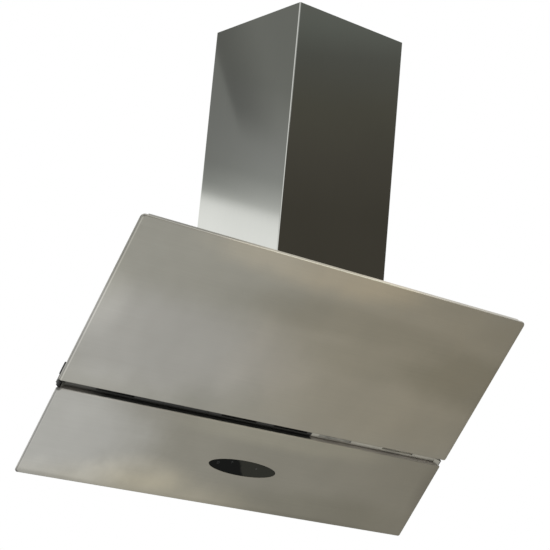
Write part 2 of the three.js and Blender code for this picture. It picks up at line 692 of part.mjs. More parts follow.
function panelStrike(sign) {
  const inset = CATCH_INSET + (CATCH_WIDTH - STRIKE_WIDTH) / 2;
  const middle = RAIL_TOP - SEAT - CATCH_LENGTH / 2;
  const half = STRIKE_LENGTH / 2;
  const span = sideSpan(sign, inset, STRIKE_WIDTH);
  return slopeBox(...span, middle - half, middle + half, -CATCH_FRONT + SEAT, PANEL_BACK);
}

function upperPanel() {
  const half = PANEL_WIDTH / 2;
  const flangeX = half - TOP_CORNER - FLANGE_END_GAP;
  const bottom = UPPER_LENGTH - PANEL_SHEET;
  return join(
    tray(half, 0, UPPER_LENGTH, TOP_CORNER),
    slopeBox(-flangeX, flangeX, 0, PANEL_SHEET, -TOP_FLANGE, -PANEL_FOLD + 1),
    slopeBox(-flangeX, flangeX, bottom, UPPER_LENGTH, -BOTTOM_FLANGE, -PANEL_FOLD + 1),
  );
}

function lowerPanel() {
  const half = PANEL_WIDTH / 2 - LOWER_INSET;
  const rise = AIR_FLANGE_RISE / AIR_FLANGE;
  const start = PANEL_BEND;
  const top = -LOWER_TOP;
  const flange = extrudeX(
    polygon([
      [top + start * rise, -start],
      [top + AIR_FLANGE_RISE, -AIR_FLANGE],
      [top + AIR_FLANGE_RISE - PANEL_SHEET, -AIR_FLANGE],
      [top + start * rise - PANEL_SHEET, -start],
    ]),
    -half + PANEL_CORNER,
    half - PANEL_CORNER,
  );
  const shell = join(tray(half, LOWER_TOP, SLOPE_LENGTH, PANEL_CORNER), flange);
  return cut(shell, windowBlock(SEAT, -CUT, CUT));
}

function windowMiddle() {
  return LOWER_TOP + LOWER_LENGTH / 2;
}

function windowBlock(margin, w0, w1) {
  return ellipse(WINDOW_HALF_WIDTH + margin, WINDOW_HALF_HEIGHT + margin, windowMiddle(), w0, w1);
}

function controlWindow() {
  const back = -WINDOW_RECESS - WINDOW_THICKNESS;
  return join(
    windowBlock(0, PANEL_BACK - 0.5, -WINDOW_RECESS),
    windowBlock(WINDOW_RIM, back, PANEL_BACK),
  );
}

function controlHousing() {
  const middle = windowMiddle();
  const halfX = HOUSING_HALF_WIDTH;
  const halfS = HOUSING_HALF_HEIGHT;
  const wall = HOUSING_WALL;
  const floor = -HOUSING_DEPTH;
  const block = slopeBox(-halfX, halfX, middle - halfS, middle + halfS, floor - wall, PANEL_BACK);
  const inner = [-halfX + wall, halfX - wall, middle - halfS + wall, middle + halfS - wall];
  const postTop = touchBoardBack() - SEAT;
  const postSpan = [middle - halfS + 1, middle + halfS - 1, floor - 1, postTop];
  const posts = SIDES.map(([, sign]) => {
    const x = sign * (BOARD_HALF_WIDTH - BOARD_POST);
    return slopeBox(x - BOARD_POST / 2, x + BOARD_POST / 2, ...postSpan);
  });
  return join(cut(block, slopeBox(...inner, floor, PANEL_BACK + CUT)), ...posts);
}

function touchBoardBack() {
  return -WINDOW_RECESS - WINDOW_THICKNESS - SEAT - BOARD_THICKNESS;
}

function touchBoard() {
  const middle = windowMiddle();
  const halfS = BOARD_HALF_HEIGHT;
  const back = touchBoardBack();
  const span = [middle - halfS, middle + halfS];
  return slopeBox(-BOARD_HALF_WIDTH, BOARD_HALF_WIDTH, ...span, back, back + BOARD_THICKNESS);
}

function lowerBracket(sign) {
  const x0 = sign * LOWER_BRACKET_X - LOWER_BRACKET_WIDTH / 2;
  const x1 = x0 + LOWER_BRACKET_WIDTH;
  const top = windowMiddle() - LOWER_BRACKET_LENGTH / 2;
  const bottom = top + LOWER_BRACKET_LENGTH;
  const sheet = LOWER_BRACKET_SHEET;
  const block = slopeBox(x0, x1, top, bottom, BODY_FACE, PANEL_BACK);
  const hollow = [top + sheet, bottom - sheet, BODY_FACE + sheet, PANEL_BACK - sheet];
  return cut(block, slopeBox(x0 - CUT, x1 + CUT, ...hollow));
}

function hingeBarrel(x0, x1, radius) {
  return cylinderX(radius, x0, x1, -HINGE_DROP, -HINGE_DEPTH, 16);
}

function hingeLeaf(sign) {
  const x = sign * HINGE_X;
  const half = HINGE_LEAF_WIDTH / 2;
  const foot = PANEL_BACK - HINGE_SHEET;
  const top = HINGE_DROP - 8;
  const web = slopeBox(x - half, x + half, HINGE_DROP - 3, HINGE_DROP + 3, -HINGE_DEPTH, foot + 1);
  const wide = HINGE_WIDTH / 2 - 2;
  const plate = slopeBox(x - wide, x + wide, top, top + HINGE_FOOT_LENGTH, foot, PANEL_BACK);
  const solid = join(hingeBarrel(x - half, x + half, HINGE_BARREL), web, plate);
  return cut(solid, hingeBarrel(x - half - CUT, x + half + CUT, HINGE_PIN + RUN));
}

function hingeBracket(sign) {
  const x = sign * HINGE_X;
  const half = HINGE_WIDTH / 2;
  const inner = HINGE_LEAF_WIDTH / 2 + 2 * SEAT;
  const face = BODY_FACE + HINGE_SHEET;
  const plate = slopeBox(x - half, x + half, HINGE_DROP - 4, HINGE_BRACKET_END, BODY_FACE, face);
  const ears = [[x - half, x - inner], [x + inner, x + half]].map(([x0, x1]) => join(
    hingeBarrel(x0, x1, HINGE_BARREL),
    slopeBox(x0, x1, HINGE_DROP - 4, HINGE_DROP + 4, face - 1, -HINGE_DEPTH),
  ));
  const bore = hingeBarrel(x - half - CUT, x + half + CUT, HINGE_PIN + SEAT);
  const holes = [-HINGE_SCREW_X, HINGE_SCREW_X].map((offset) =>
    cylinderZ(SCREW_SHANK + SEAT, BODY_FACE - CUT, face + CUT, x + offset, -HINGE_SCREW_DROP, 10));
  return cut(join(plate, ...ears), bore, ...holes);
}

function hingePin(sign) {
  const x = sign * HINGE_X;
  const half = HINGE_WIDTH / 2 + 1;
  return hingeBarrel(x - half, x + half, HINGE_PIN);
}

// Along +Z, its head seated on a plate whose top is at z = 0.
function screw() {
  return turned([
    [0, SEAT - SCREW_LENGTH],
    [SCREW_SHANK, SEAT - SCREW_LENGTH],
    [SCREW_SHANK, SEAT],
    [SCREW_HEAD, SEAT],
    [SCREW_HEAD, SEAT + SCREW_HEAD_HEIGHT / 2],
    [SCREW_HEAD * 0.6, SEAT + SCREW_HEAD_HEIGHT],
    [0, SEAT + SCREW_HEAD_HEIGHT],
  ], 10);
}

// ---- fan --------------------------------------------------------------------------------------
function fanBox() {
  const half = BOX_HALF_WIDTH;
  const sheet = BOX_SHEET;
  const outer = box(-half, half, BOX_FRONT, BOX_BACK, BODY_TOP, BOX_TOP);
  const rim = BOX_FLANGE;
  const wide = half + rim;
  const flange = box(-wide, wide, BOX_FRONT - rim, BOX_BACK + rim, BODY_TOP, BODY_TOP + sheet);
  const inner = [BOX_FRONT + sheet, BOX_BACK - sheet, BODY_TOP - CUT, BOX_TOP - sheet];
  const top = [BOX_TOP - sheet - CUT, BOX_TOP + CUT];
  const foot = [BODY_TOP - CUT, BODY_TOP + CUT];
  return cut(
    join(outer, flange),
    box(-half + sheet, half - sheet, ...inner),
    cylinderZ(COLLAR_RADIUS - COLLAR_WALL, ...top, 0, OUTLET_Y, 32),
    cylinderZ(GLAND_THREAD + SEAT, ...top, GLAND_X, BOX_FRONT + GLAND_FRONT, 16),
    ...boxScrewPlaces().map(([x, y]) => cylinderZ(SCREW_SHANK + SEAT, ...foot, x, y, 10)),
  );
}

// The scroll's section in (y, z): a spiral that opens into a straight outlet on its back side.
function scrollOutline(wall, top) {
  const points = Array.from({ length: SCROLL_STEPS + 1 }, (_, i) => {
    const share = i / SCROLL_STEPS;
    const angle = THREE.MathUtils.degToRad(SCROLL_TONGUE + share * (360 - SCROLL_TONGUE));
    const radius = SCROLL_START_RADIUS + share * (SCROLL_END_RADIUS - SCROLL_START_RADIUS) - wall;
    return [SCROLL_Y + radius * Math.cos(angle), SCROLL_Z + radius * Math.sin(angle)];
  });
  points.push([SCROLL_Y + SCROLL_END_RADIUS - wall, top], [SCROLL_Y + TONGUE_Y + wall, top]);
  return polygon(points);
}

// One moulded half of the scroll: sign is -1 for the left half and 1 for the right one.
function scrollHousing(sign) {
  const wall = SCROLL_WALL;
  const top = BOX_TOP - BOX_SHEET - SEAT;
  const across = (near, far) => [sign * near, sign * far].sort((a, b) => a - b);
  const inlet = across(-CUT, SCROLL_HALF_WIDTH + CUT);
  return cut(
    extrudeX(scrollOutline(0, top), ...across(SEAT / 2, SCROLL_HALF_WIDTH)),
    extrudeX(scrollOutline(wall, top + CUT), ...across(-CUT, SCROLL_HALF_WIDTH - wall)),
    cylinderX(INLET_RADIUS, ...inlet, SCROLL_Y, SCROLL_Z, 32),
  );
}

function blade(index, x0, x1) {
  const reach = [WHEEL_RADIUS - BLADE_DEPTH, WHEEL_RADIUS - 0.5];
  const half = BLADE_SHEET / 2;
  const middle = (reach[0] + reach[1]) / 2;
  return box(x0 + 1, x1 - 1, reach[0] - middle, reach[1] - middle, -half, half)
    .rotateX(THREE.MathUtils.degToRad(BLADE_LEAN))
    .translate(0, middle, 0)
    .rotateX((2 * Math.PI * index) / BLADE_COUNT)
    .translate(0, SCROLL_Y, SCROLL_Z);
}

function wheelRing(x0) {
  const ring = (radius, margin) =>
    cylinderX(radius, x0 - margin, x0 + WHEEL_RING + margin, SCROLL_Y, SCROLL_Z, 48);
  return cut(ring(WHEEL_RADIUS, 0), ring(WHEEL_RADIUS - WHEEL_RING_WALL, CUT));
}

// The blades on one side of the wheel's disc, between two rings.
function wheelCage(sign) {
  const near = WHEEL_DISC / 2 + SEAT;
  const [x0, x1] = [sign * near, sign * WHEEL_HALF_WIDTH].sort((a, b) => a - b);
  return join(
    wheelRing(x0),
    wheelRing(x1 - WHEEL_RING),
    ...Array.from({ length: BLADE_COUNT }, (_, index) => blade(index, x0, x1)),
  );
}

function wheelDisc() {
  const at = [SCROLL_Y, SCROLL_Z];
  const hubStart = WHEEL_HUB_FRONT - WHEEL_HUB_LENGTH;
  const disc = join(
    cylinderX(WHEEL_RADIUS, -WHEEL_DISC / 2, WHEEL_DISC / 2, ...at, 48),
    cylinderX(WHEEL_HUB_RADIUS, hubStart, WHEEL_HUB_FRONT, ...at, 24),
  );
  return cut(disc, cylinderX(SHAFT_RADIUS + SEAT, hubStart - CUT, WHEEL_HUB_FRONT + CUT, ...at, 16));
}

// A profile of (radius, distance along the shaft) turned about the fan's axis.
function onShaft(points, steps) {
  return turned(points, steps).rotateY(Math.PI / 2).translate(0, SCROLL_Y, SCROLL_Z);
}

function motor() {
  const end = MOTOR_START + MOTOR_LENGTH;
  const boss = MOTOR_START - MOTOR_BOSS_LENGTH;
  const bore = SHAFT_RADIUS + RUN;
  return onShaft([
    [bore, boss],
    [MOTOR_BOSS, boss],
    [MOTOR_BOSS, MOTOR_START],
    [MOTOR_RADIUS, MOTOR_START],
    [MOTOR_RADIUS, end - MOTOR_CHAMFER],
    [MOTOR_RADIUS - MOTOR_CHAMFER, end],
    [0, end],
    [0, MOTOR_START + SHAFT_DEPTH + SEAT],
    [bore, MOTOR_START + SHAFT_DEPTH + SEAT],
  ], 32);
}

function motorShaft() {
  return cylinderX(SHAFT_RADIUS, SHAFT_START, MOTOR_START + SHAFT_DEPTH, SCROLL_Y, SCROLL_Z, 32);
}

function motorYoke() {
  const start = SCROLL_HALF_WIDTH + SEAT;
  const span = [start, start + YOKE_THICKNESS];
  const inner = MOTOR_RADIUS + SEAT;
  const arm = (turn) => box(...span, inner + 1, YOKE_REACH, -YOKE_ARM_WIDTH / 2, YOKE_ARM_WIDTH / 2)
    .rotateX((2 * Math.PI * turn) / 3 + Math.PI / 2)
    .translate(0, SCROLL_Y, SCROLL_Z);
  const ring = cylinderX(inner + YOKE_RING, ...span, SCROLL_Y, SCROLL_Z, 32);
  const hole = cylinderX(inner, span[0] - CUT, span[1] + CUT, SCROLL_Y, SCROLL_Z, 32);
  return cut(join(ring, arm(0), arm(1), arm(2)), hole);
}

function outletCollar() {
  const inner = COLLAR_RADIUS - COLLAR_WALL;
  const ledge = COLLAR_LEDGE_RISE;
  const tube = turned([
    [inner, 0],
    [COLLAR_RADIUS + COLLAR_FLANGE, 0],
    [COLLAR_RADIUS + COLLAR_FLANGE, COLLAR_FLANGE_SHEET],
    [COLLAR_RADIUS, COLLAR_FLANGE_SHEET],
    [COLLAR_RADIUS, COLLAR_HEIGHT],
    [inner, COLLAR_HEIGHT],
    [inner, ledge + COLLAR_LEDGE_SHEET],
    [inner - COLLAR_LEDGE, ledge + COLLAR_LEDGE_SHEET],
    [inner - COLLAR_LEDGE, ledge],
    [inner, ledge],
  ], 40).translate(0, OUTLET_Y, BOX_TOP);
  const reach = COLLAR_RADIUS + CUT;
  return cut(tube, cylinderX(FLAP_PIN + SEAT, -reach, reach, OUTLET_Y, FLAP_Z, 12));
}

function flapBarrels(middle, radius) {
  const half = FLAP_BARREL_LENGTH / 2;
  return [-middle, middle].map((x) => cylinderX(radius, x - half, x + half, OUTLET_Y, FLAP_Z, 12));
}

// One half of the backdraft damper: sign is -1 for the front flap and 1 for the back one.
function backdraftFlap(sign, barrelX) {
  const radius = COLLAR_RADIUS - COLLAR_WALL - FLAP_MARGIN;
  const low = FLAP_Z - FLAP_SHEET / 2;
  const high = FLAP_Z + FLAP_SHEET / 2;
  const disc = cylinderZ(radius, low, high, 0, OUTLET_Y, 40);
  const away = OUTLET_Y + sign * FLAP_HINGE_GAP;
  const [y0, y1] = [away, away - sign * 2 * COLLAR_RADIUS].sort((a, b) => a - b);
  const halfDisc = cut(disc, box(-COLLAR_RADIUS, COLLAR_RADIUS, y0, y1, low - CUT, high + CUT));
  const half = FLAP_BARREL_LENGTH / 2;
  const webs = [-barrelX, barrelX].map((x) => {
    const [w0, w1] = [OUTLET_Y + sign * 2, away + sign].sort((a, b) => a - b);
    return box(x - half, x + half, w0, w1, low, high);
  });
  const solid = join(halfDisc, ...webs, ...flapBarrels(barrelX, FLAP_BARREL));
  const reach = COLLAR_RADIUS;
  return cut(solid, cylinderX(FLAP_PIN + RUN, -reach, reach, OUTLET_Y, FLAP_Z, 12));
}

function flapPin() {
  const reach = COLLAR_RADIUS - SEAT;
  return cylinderX(FLAP_PIN, -reach, reach, OUTLET_Y, FLAP_Z, 12);
}

// ---- wiring -----------------------------------------------------------------------------------
function terminalBox() {
  const x1 = BODY_WIDTH / 2 - BODY_SHEET - SEAT;
  const x0 = x1 - TERMINAL_WIDTH;
  const y1 = -TERMINAL_BACK;
  const y0 = y1 - TERMINAL_DEPTH;
  const z1 = TERMINAL_TOP;
  const z0 = z1 - TERMINAL_HEIGHT;
  const wall = TERMINAL_WALL;
  return cut(
    box(x0, x1, y0, y1, z0, z1),
    box(x0 + wall, x1 - wall, y0 + wall, y1 - wall, z0 + wall, z1 - wall),
    cylinderZ(TERMINAL_CABLE_HOLE, z1 - CUT, z1 + CUT, (x0 + x1) / 2, (y0 + y1) / 2, 16),
  );
}

function capacitor() {
  const face = -(BODY_SHEET + SEAT);
  const y = face - SADDLE_DEPTH - CAPACITOR_RADIUS + 4;
  const half = CAPACITOR_LENGTH / 2;
  const saddleX = SADDLE_WIDTH / 2;
  const saddleZ = SADDLE_HEIGHT / 2;
  const middle = CAPACITOR_MIDDLE;
  return join(
    cylinderZ(CAPACITOR_RADIUS, middle - half, middle + half, CAPACITOR_X, y, 24),
    box(CAPACITOR_X - saddleX, CAPACITOR_X + saddleX, y, face, middle - saddleZ, middle + saddleZ),
  );
}

function cableGland() {
  return turned([
    [GLAND_BORE, -GLAND_BELOW],
    [GLAND_THREAD, -GLAND_BELOW],
    [GLAND_THREAD, SEAT],
    [GLAND_NUT, SEAT],
    [GLAND_NUT, GLAND_HEIGHT * 0.6],
    [GLAND_BORE + 2, GLAND_HEIGHT],
    [GLAND_BORE, GLAND_HEIGHT],
  ], 12).translate(GLAND_X, BOX_FRONT + GLAND_FRONT, BOX_TOP);
}

// ---- duct cover -------------------------------------------------------------------------------
// A three-sided cover with lips folded in along its back edges, drawn in (x, y).
function coverOutline(halfWidth, front, back, lip) {
  const sheet = COVER_SHEET;
  const bend = COVER_BEND;
  const inner = bend - sheet;
  const shape = new THREE.Shape();
  shape.moveTo(-halfWidth + lip, back);
  shape.lineTo(-halfWidth, back);
  shape.lineTo(-halfWidth, front + bend);
  shape.absarc(-halfWidth + bend, front + bend, bend, Math.PI, Math.PI * 1.5);
  shape.lineTo(halfWidth - bend, front);
  shape.absarc(halfWidth - bend, front + bend, bend, -Math.PI / 2, 0);
  shape.lineTo(halfWidth, back);
  shape.lineTo(halfWidth - lip, back);
  shape.lineTo(halfWidth - lip, back - sheet);
  shape.lineTo(halfWidth - sheet, back - sheet);
  shape.lineTo(halfWidth - sheet, front + bend);
  shape.absarc(halfWidth - bend, front + bend, inner, 0, -Math.PI / 2, true);
  shape.lineTo(-halfWidth + bend, front + sheet);
  shape.absarc(-halfWidth + bend, front + bend, inner, Math.PI * 1.5, Math.PI, true);
  shape.lineTo(-halfWidth + sheet, back - sheet);
  shape.lineTo(-halfWidth + lip, back - sheet);
  return shape;
}

function outerCover() {
  const outline = coverOutline(COVER_WIDTH / 2, COVER_FRONT, COVER_BACK, COVER_LIP);
  return extrudeZ(outline, BODY_TOP, COVER_TOP, 3);
}

function innerCover() {
  const step = COVER_SHEET + COVER_NEST_GAP;
  const halfWidth = COVER_WIDTH / 2 - step;
  const front = COVER_FRONT + step;
  const back = COVER_BACK - step;
  const top = COVER_TOP - INNER_COVER_DROP;
  const cover = extrudeZ(coverOutline(halfWidth, front, back, INNER_COVER_LIP), BODY_TOP, top, 3);
  const middle = (front + back) / 2;
  const vents = Array.from({ length: VENT_COUNT }, (_, i) => {
    const z = top - VENT_TOP - i * VENT_PITCH;
    const reach = COVER_WIDTH / 2;
    return box(-reach, reach, middle - VENT_LENGTH / 2, middle + VENT_LENGTH / 2, z - VENT_HEIGHT, z);
  });
  return cut(cover, ...vents);
}

// A wall bracket behind the back lips of a cover: a flat base with two ends folded forwards.
function coverBracket(inset, reach, drop) {
  const halfWidth = COVER_WIDTH / 2 - inset;
  const sheet = BRACKET_SHEET;
  const top = COVER_TOP - drop;
  const outline = polygon([
    [-halfWidth, 0],
    [halfWidth, 0],
    [halfWidth, reach],
    [halfWidth - sheet, reach],
    [halfWidth - sheet, -sheet],
    [-halfWidth + sheet, -sheet],
    [-halfWidth + sheet, reach],
    [-halfWidth, reach],
  ]);
  return extrudeZ(outline, top - BRACKET_HEIGHT, top);
}

// ---- assembly ---------------------------------------------------------------------------------
function buildBody(hood) {
  add(hood, 'body_shell', 'galvanised', bodyShell());
  SIDES.forEach(([side, sign]) => add(hood, `hanger_plate_${side}`, 'zincPlate', hangerPlate(sign)));
  add(hood, 'terminal_box', 'greyPlastic', terminalBox());
  add(hood, 'capacitor', 'aluminium', capacitor());
}

function buildSlope(slope) {
  add(slope, 'upper_panel', 'panelSteel', upperPanel());
  add(slope, 'lower_panel', 'panelSteel', lowerPanel());
  add(slope, 'control_window', 'darkGlass', controlWindow());
  add(slope, 'touch_board', 'board', touchBoard());
  add(slope, 'control_housing', 'blackPlastic', controlHousing());
  add(slope, 'slot_rail', 'blackPaint', slotRail());
  add(slope, 'filter_seat', 'galvanised', filterSeat());
  SIDES.forEach(([side, sign]) => {
    add(slope, `rail_bracket_${side}`, 'galvanised', railBracket(sign));
    add(slope, `panel_catch_${side}`, 'blackPlastic', panelCatch(sign));
    add(slope, `panel_strike_${side}`, 'zincPlate', panelStrike(sign));
    add(slope, `lamp_lens_${side}`, 'diffuser', lampLens(sign));
    add(slope, `lamp_body_${side}`, 'blackPlastic', lampBody(sign));
    add(slope, `hinge_bracket_${side}`, 'zincPlate', hingeBracket(sign));
    add(slope, `hinge_pin_${side}`, 'zincPlate', hingePin(sign));
    add(slope, `hinge_leaf_${side}`, 'zincPlate', hingeLeaf(sign));
    add(slope, `lower_bracket_${side}`, 'galvanised', lowerBracket(sign));
    add(slope, `filter_frame_${side}`, 'aluminium', filterFrame(sign));
    add(slope, `filter_mesh_${side}`, 'aluminium', filterMesh(sign));
    add(slope, `filter_latch_${side}`, 'blackPlastic', filterLatch(sign));
  });
  hingeScrewPlaces().forEach((x, index) => {
    const seated = screw().translate(x, -HINGE_SCREW_DROP, BODY_FACE + HINGE_SHEET);
    add(slope, `hinge_screw_${index + 1}`, 'zincPlate', seated);
  });
}

function buildFan(fan) {
  add(fan, 'fan_box', 'galvanised', fanBox());
  add(fan, 'wheel_disc', 'blackPlastic', wheelDisc());
  SIDES.forEach(([side, sign]) => {
    add(fan, `scroll_housing_${side}`, 'greyPlastic', scrollHousing(sign));
    add(fan, `wheel_cage_${side}`, 'blackPlastic', wheelCage(sign));
  });
  add(fan, 'motor', 'zincPlate', motor());
  add(fan, 'motor_shaft', 'zincPlate', motorShaft());
  add(fan, 'motor_yoke', 'zincPlate', motorYoke());
  add(fan, 'outlet_collar', 'greyPlastic', outletCollar());
  add(fan, 'backdraft_flap_front', 'blackPlastic', backdraftFlap(-1, FLAP_FRONT_BARREL_X));
  add(fan, 'backdraft_flap_back', 'blackPlastic', backdraftFlap(1, FLAP_BACK_BARREL_X));
  add(fan, 'flap_pin', 'zincPlate', flapPin());
  add(fan, 'cable_gland', 'blackPlastic', cableGland());
  boxScrewPlaces().forEach(([x, y], index) => {
    const seated = screw().translate(x, y, BODY_TOP + BOX_SHEET);
    add(fan, `fan_box_screw_${index + 1}`, 'zincPlate', seated);
  });
}

function buildCover(cover) {
  const innerBack = COVER_BACK - COVER_SHEET - COVER_NEST_GAP;
  const outerReach = COVER_BACK + SEAT;
  const innerReach = innerBack + SEAT;
  const lowerDrop = INNER_BRACKET_DROP + BRACKET_HEIGHT + BRACKET_SPACING;
  add(cover, 'duct_cover_lower', 'coverSteel', outerCover());
  add(cover, 'duct_cover_upper', 'coverSteel', innerCover());
  const lower = coverBracket(OUTER_BRACKET_INSET, outerReach, lowerDrop);
  const upper = coverBracket(INNER_BRACKET_INSET, innerReach, INNER_BRACKET_DROP);
  add(cover, 'cover_bracket_lower', 'zincPlate', lower);
  add(cover, 'cover_bracket_upper', 'zincPlate', upper);
}

const hood = new THREE.Group();
const slope = new THREE.Group();
const fan = new THREE.Group();
const cover = new THREE.Group();
slope.position.set(0, EDGE_Y, EDGE_Z);
slope.rotation.x = Math.PI / 2 + THREE.MathUtils.degToRad(PANEL_TILT);
hood.add(slope, fan, cover);
buildBody(hood);
buildSlope(slope);
buildFan(fan);
buildCover(cover);

export default hood;
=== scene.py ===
"""Looks of an inclined chimney range hood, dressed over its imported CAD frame.

Every piece lies in the frame's own axes, in metres: X to the cook's right, Y into the wall, Z up.
The two tilted panels share a slope frame: x across, s down the slope from the panel's top edge and
w out of the panel's front face, all in millimetres.
"""

import logging
import math
from dataclasses import dataclass, field, replace
from enum import Enum
from typing import Callable, Iterable, Sequence

import bmesh
import bpy
from mathutils import Matrix, Vector


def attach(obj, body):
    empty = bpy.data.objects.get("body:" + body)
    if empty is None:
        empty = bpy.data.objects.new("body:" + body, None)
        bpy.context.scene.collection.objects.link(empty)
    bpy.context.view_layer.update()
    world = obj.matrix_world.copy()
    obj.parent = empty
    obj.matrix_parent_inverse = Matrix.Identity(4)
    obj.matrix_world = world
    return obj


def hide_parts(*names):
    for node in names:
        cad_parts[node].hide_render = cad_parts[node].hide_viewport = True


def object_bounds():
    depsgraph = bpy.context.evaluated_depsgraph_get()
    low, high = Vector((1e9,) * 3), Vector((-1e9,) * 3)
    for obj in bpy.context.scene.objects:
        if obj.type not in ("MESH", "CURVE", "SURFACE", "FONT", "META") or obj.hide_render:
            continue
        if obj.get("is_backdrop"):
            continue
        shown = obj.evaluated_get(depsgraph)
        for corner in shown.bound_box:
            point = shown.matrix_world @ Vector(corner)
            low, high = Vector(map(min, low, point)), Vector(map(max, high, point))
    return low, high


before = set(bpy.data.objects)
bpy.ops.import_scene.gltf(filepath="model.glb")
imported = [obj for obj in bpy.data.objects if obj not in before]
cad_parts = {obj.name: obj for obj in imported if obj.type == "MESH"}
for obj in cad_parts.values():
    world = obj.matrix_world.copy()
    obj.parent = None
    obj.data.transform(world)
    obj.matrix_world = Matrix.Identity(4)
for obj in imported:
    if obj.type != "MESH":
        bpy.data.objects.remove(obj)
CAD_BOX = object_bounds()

logging.basicConfig(level=logging.INFO, format="%(name)s: %(message)s")
LOG = logging.getLogger("hood")

MM = 0.001
TILT = math.radians(37.1)
SLOPE_LENGTH = 508.0
EDGE_Y = -(5.0 + SLOPE_LENGTH * math.sin(TILT))
EDGE_Z = 185.0
SIDES = (("left", -1), ("right", 1))
WINDOW_MIDDLE = (-3.6, 421.8)  # x and s of the touch window
WINDOW_POINTS = 96
SHARP_EDGE = 40.0  # degrees; steeper edges of new pieces stay sharp
SKIN_BEVEL_EDGE = 60.0  # degrees; steeper edges of a bevelled new piece are rounded
NODE_BEVEL_EDGE = 38.0  # degrees; steeper edges of CAD nodes are rounded

Color = tuple[float, float, float]
Ring = list[Vector]
Place = Callable[[float, float, float], Vector]


class Body(Enum):
    """The CAD bodies that new pieces ride on."""

    HOOD = "hood"
    PANEL = "front_panel"
    LATCH_LEFT = "latch_left"
    LATCH_RIGHT = "latch_right"


class Slot(Enum):
    """The record's material slots that new pieces take."""

    PANEL_STEEL = "panel_steel"
    COVER_STEEL = "cover_steel"
    GALVANISED = "galvanised"
    ZINC_PLATE = "zinc_plate"
    ALUMINIUM = "aluminium"
    BLACK_PLASTIC = "black_plastic"
    GREY_PLASTIC = "grey_plastic"
    DARK_GLASS = "dark_glass"


class Grain(Enum):
    """Stretch of a surface's fine pattern, as texture scales along X, Y and Z."""

    ACROSS = (6.0, 900.0, 900.0)
    UPRIGHT = (900.0, 900.0, 5.0)
    EVEN = (420.0, 420.0, 420.0)


# ---- places -----------------------------------------------------------------------------------
def on_slope(x: float, s: float, w: float) -> Vector:
    """Turns slope coordinates into a point of the frame.

    Args:
        x: across the hood, in millimetres.
        s: down the slope from the panel's top edge, in millimetres.
        w: out of the panel's front face, in millimetres.

    Returns:
        The point in metres.
    """
    y = EDGE_Y + s * math.sin(TILT) - w * math.cos(TILT)
    z = EDGE_Z - s * math.cos(TILT) - w * math.sin(TILT)
    return Vector((x, y, z)) * MM


def upright(x: float, y: float, z: float) -> Vector:
    """Turns millimetres along the frame's own axes into a point in metres."""
    return Vector((x, y, z)) * MM


def shifted(place: Place, a: float, b: float, c: float) -> Place:
    """Gives a place function whose origin is moved by three distances."""
    return lambda x, y, z: place(a + x, b + y, c + z)


def full_turn(count: int) -> list[float]:
    """Gives the angles of evenly spread points on a full turn, in radians."""
    return [2 * math.pi * i / count for i in range(count)]


# ---- meshes -----------------------------------------------------------------------------------
def arc(cx: float, cy: float, radius: float, start: float, end: float, steps: int) -> list:
    """Points of a circular arc, both ends included.

    Args:
        cx: centre, first coordinate.
        cy: centre, second coordinate.
        radius: radius of the arc.
        start: first angle in degrees.
        end: last angle in degrees.
        steps: number of segments.

    Returns:
        A list of (a, b) pairs.
    """
    angles = [math.radians(start + (end - start) * i / steps) for i in range(steps + 1)]
    return [(cx + radius * math.cos(a), cy + radius * math.sin(a)) for a in angles]


def rounded_outline(
    half: float, top: float, bottom: float, r_top: float, r_bottom: float, inset: float, steps: int,
) -> list:
    """Outline of a rectangle with rounded corners, shrunk about its corner centres.

    Args:
        half: half of its width.
        top: lower second coordinate.
        bottom: higher second coordinate.
        r_top: corner radius at top.
        r_bottom: corner radius at bottom.
        inset: how far the outline is drawn in.
        steps: segments of each corner.

    Returns:
        A closed list of (a, b) pairs.
    """
    def corner(sx: int, radius: float, y: float, sy: int, start: float) -> list:
        """Gives one corner's arc, on the side sx and at the end y that sy points away from."""
        kept = max(radius - inset, 0.15)
        return arc(sx * (half - radius), y + sy * radius, kept, start, start + 90, steps)

    return (
        corner(1, r_bottom, bottom, -1, 0)
        + corner(-1, r_bottom, bottom, -1, 90)
        + corner(-1, r_top, top, 1, 180)
        + corner(1, r_top, top, 1, 270)
    )


def loft(
    bm: bmesh.types.BMesh, rings: Sequence[Ring], caps: tuple[bool, bool] = (True, True),
    closed: bool = False,
) -> list:
    """Joins rings of equal length into a skin.

    Args:
        bm: the mesh that takes it.
        rings: rings of points, in order.
        caps: whether the first and the last ring are filled.
        closed: whether the last ring joins the first.

    Returns:
        The rings as mesh vertices.
    """
    made = [[bm.verts.new(p) for p in ring] for ring in rings]
    count = len(rings[0])
    pairs = list(zip(made, made[1:])) + ([(made[-1], made[0])] if closed else [])
    for low, high in pairs:
        for i in range(count):
            j = (i + 1) % count
            bm.faces.new((low[i], low[j], high[j], high[i]))
    if caps[0] and not closed:
        bm.faces.new(list(reversed(made[0])))
    if caps[1] and not closed:
        bm.faces.new(made[-1])
    return made


def slab(
    bm: bmesh.types.BMesh, outline: Callable[[float], list], place: Place, low: float, high: float,
    edge: float, steps: int = 2,
) -> None:
    """Adds a plate of any outline whose rims are rounded.

    Args:
        bm: the mesh that takes it.
        outline: gives the outline for an inset.
        place: turns the outline's two coordinates and a height into a point.
        low: lower face's height.
        high: upper face's height.
        edge: radius of the rounded rims.
        steps: segments of that rounding.
    """
    turns = [math.radians(90 * i / steps) for i in range(steps + 1)]
    levels = [(edge * (1 - math.sin(a)), low + edge * (1 - math.cos(a))) for a in turns]
    levels += [(edge * (1 - math.cos(a)), high - edge * (1 - math.sin(a))) for a in turns]
    rings = [[place(a, b, height) for a, b in outline(inset)] for inset, height in levels]
    loft(bm, rings)


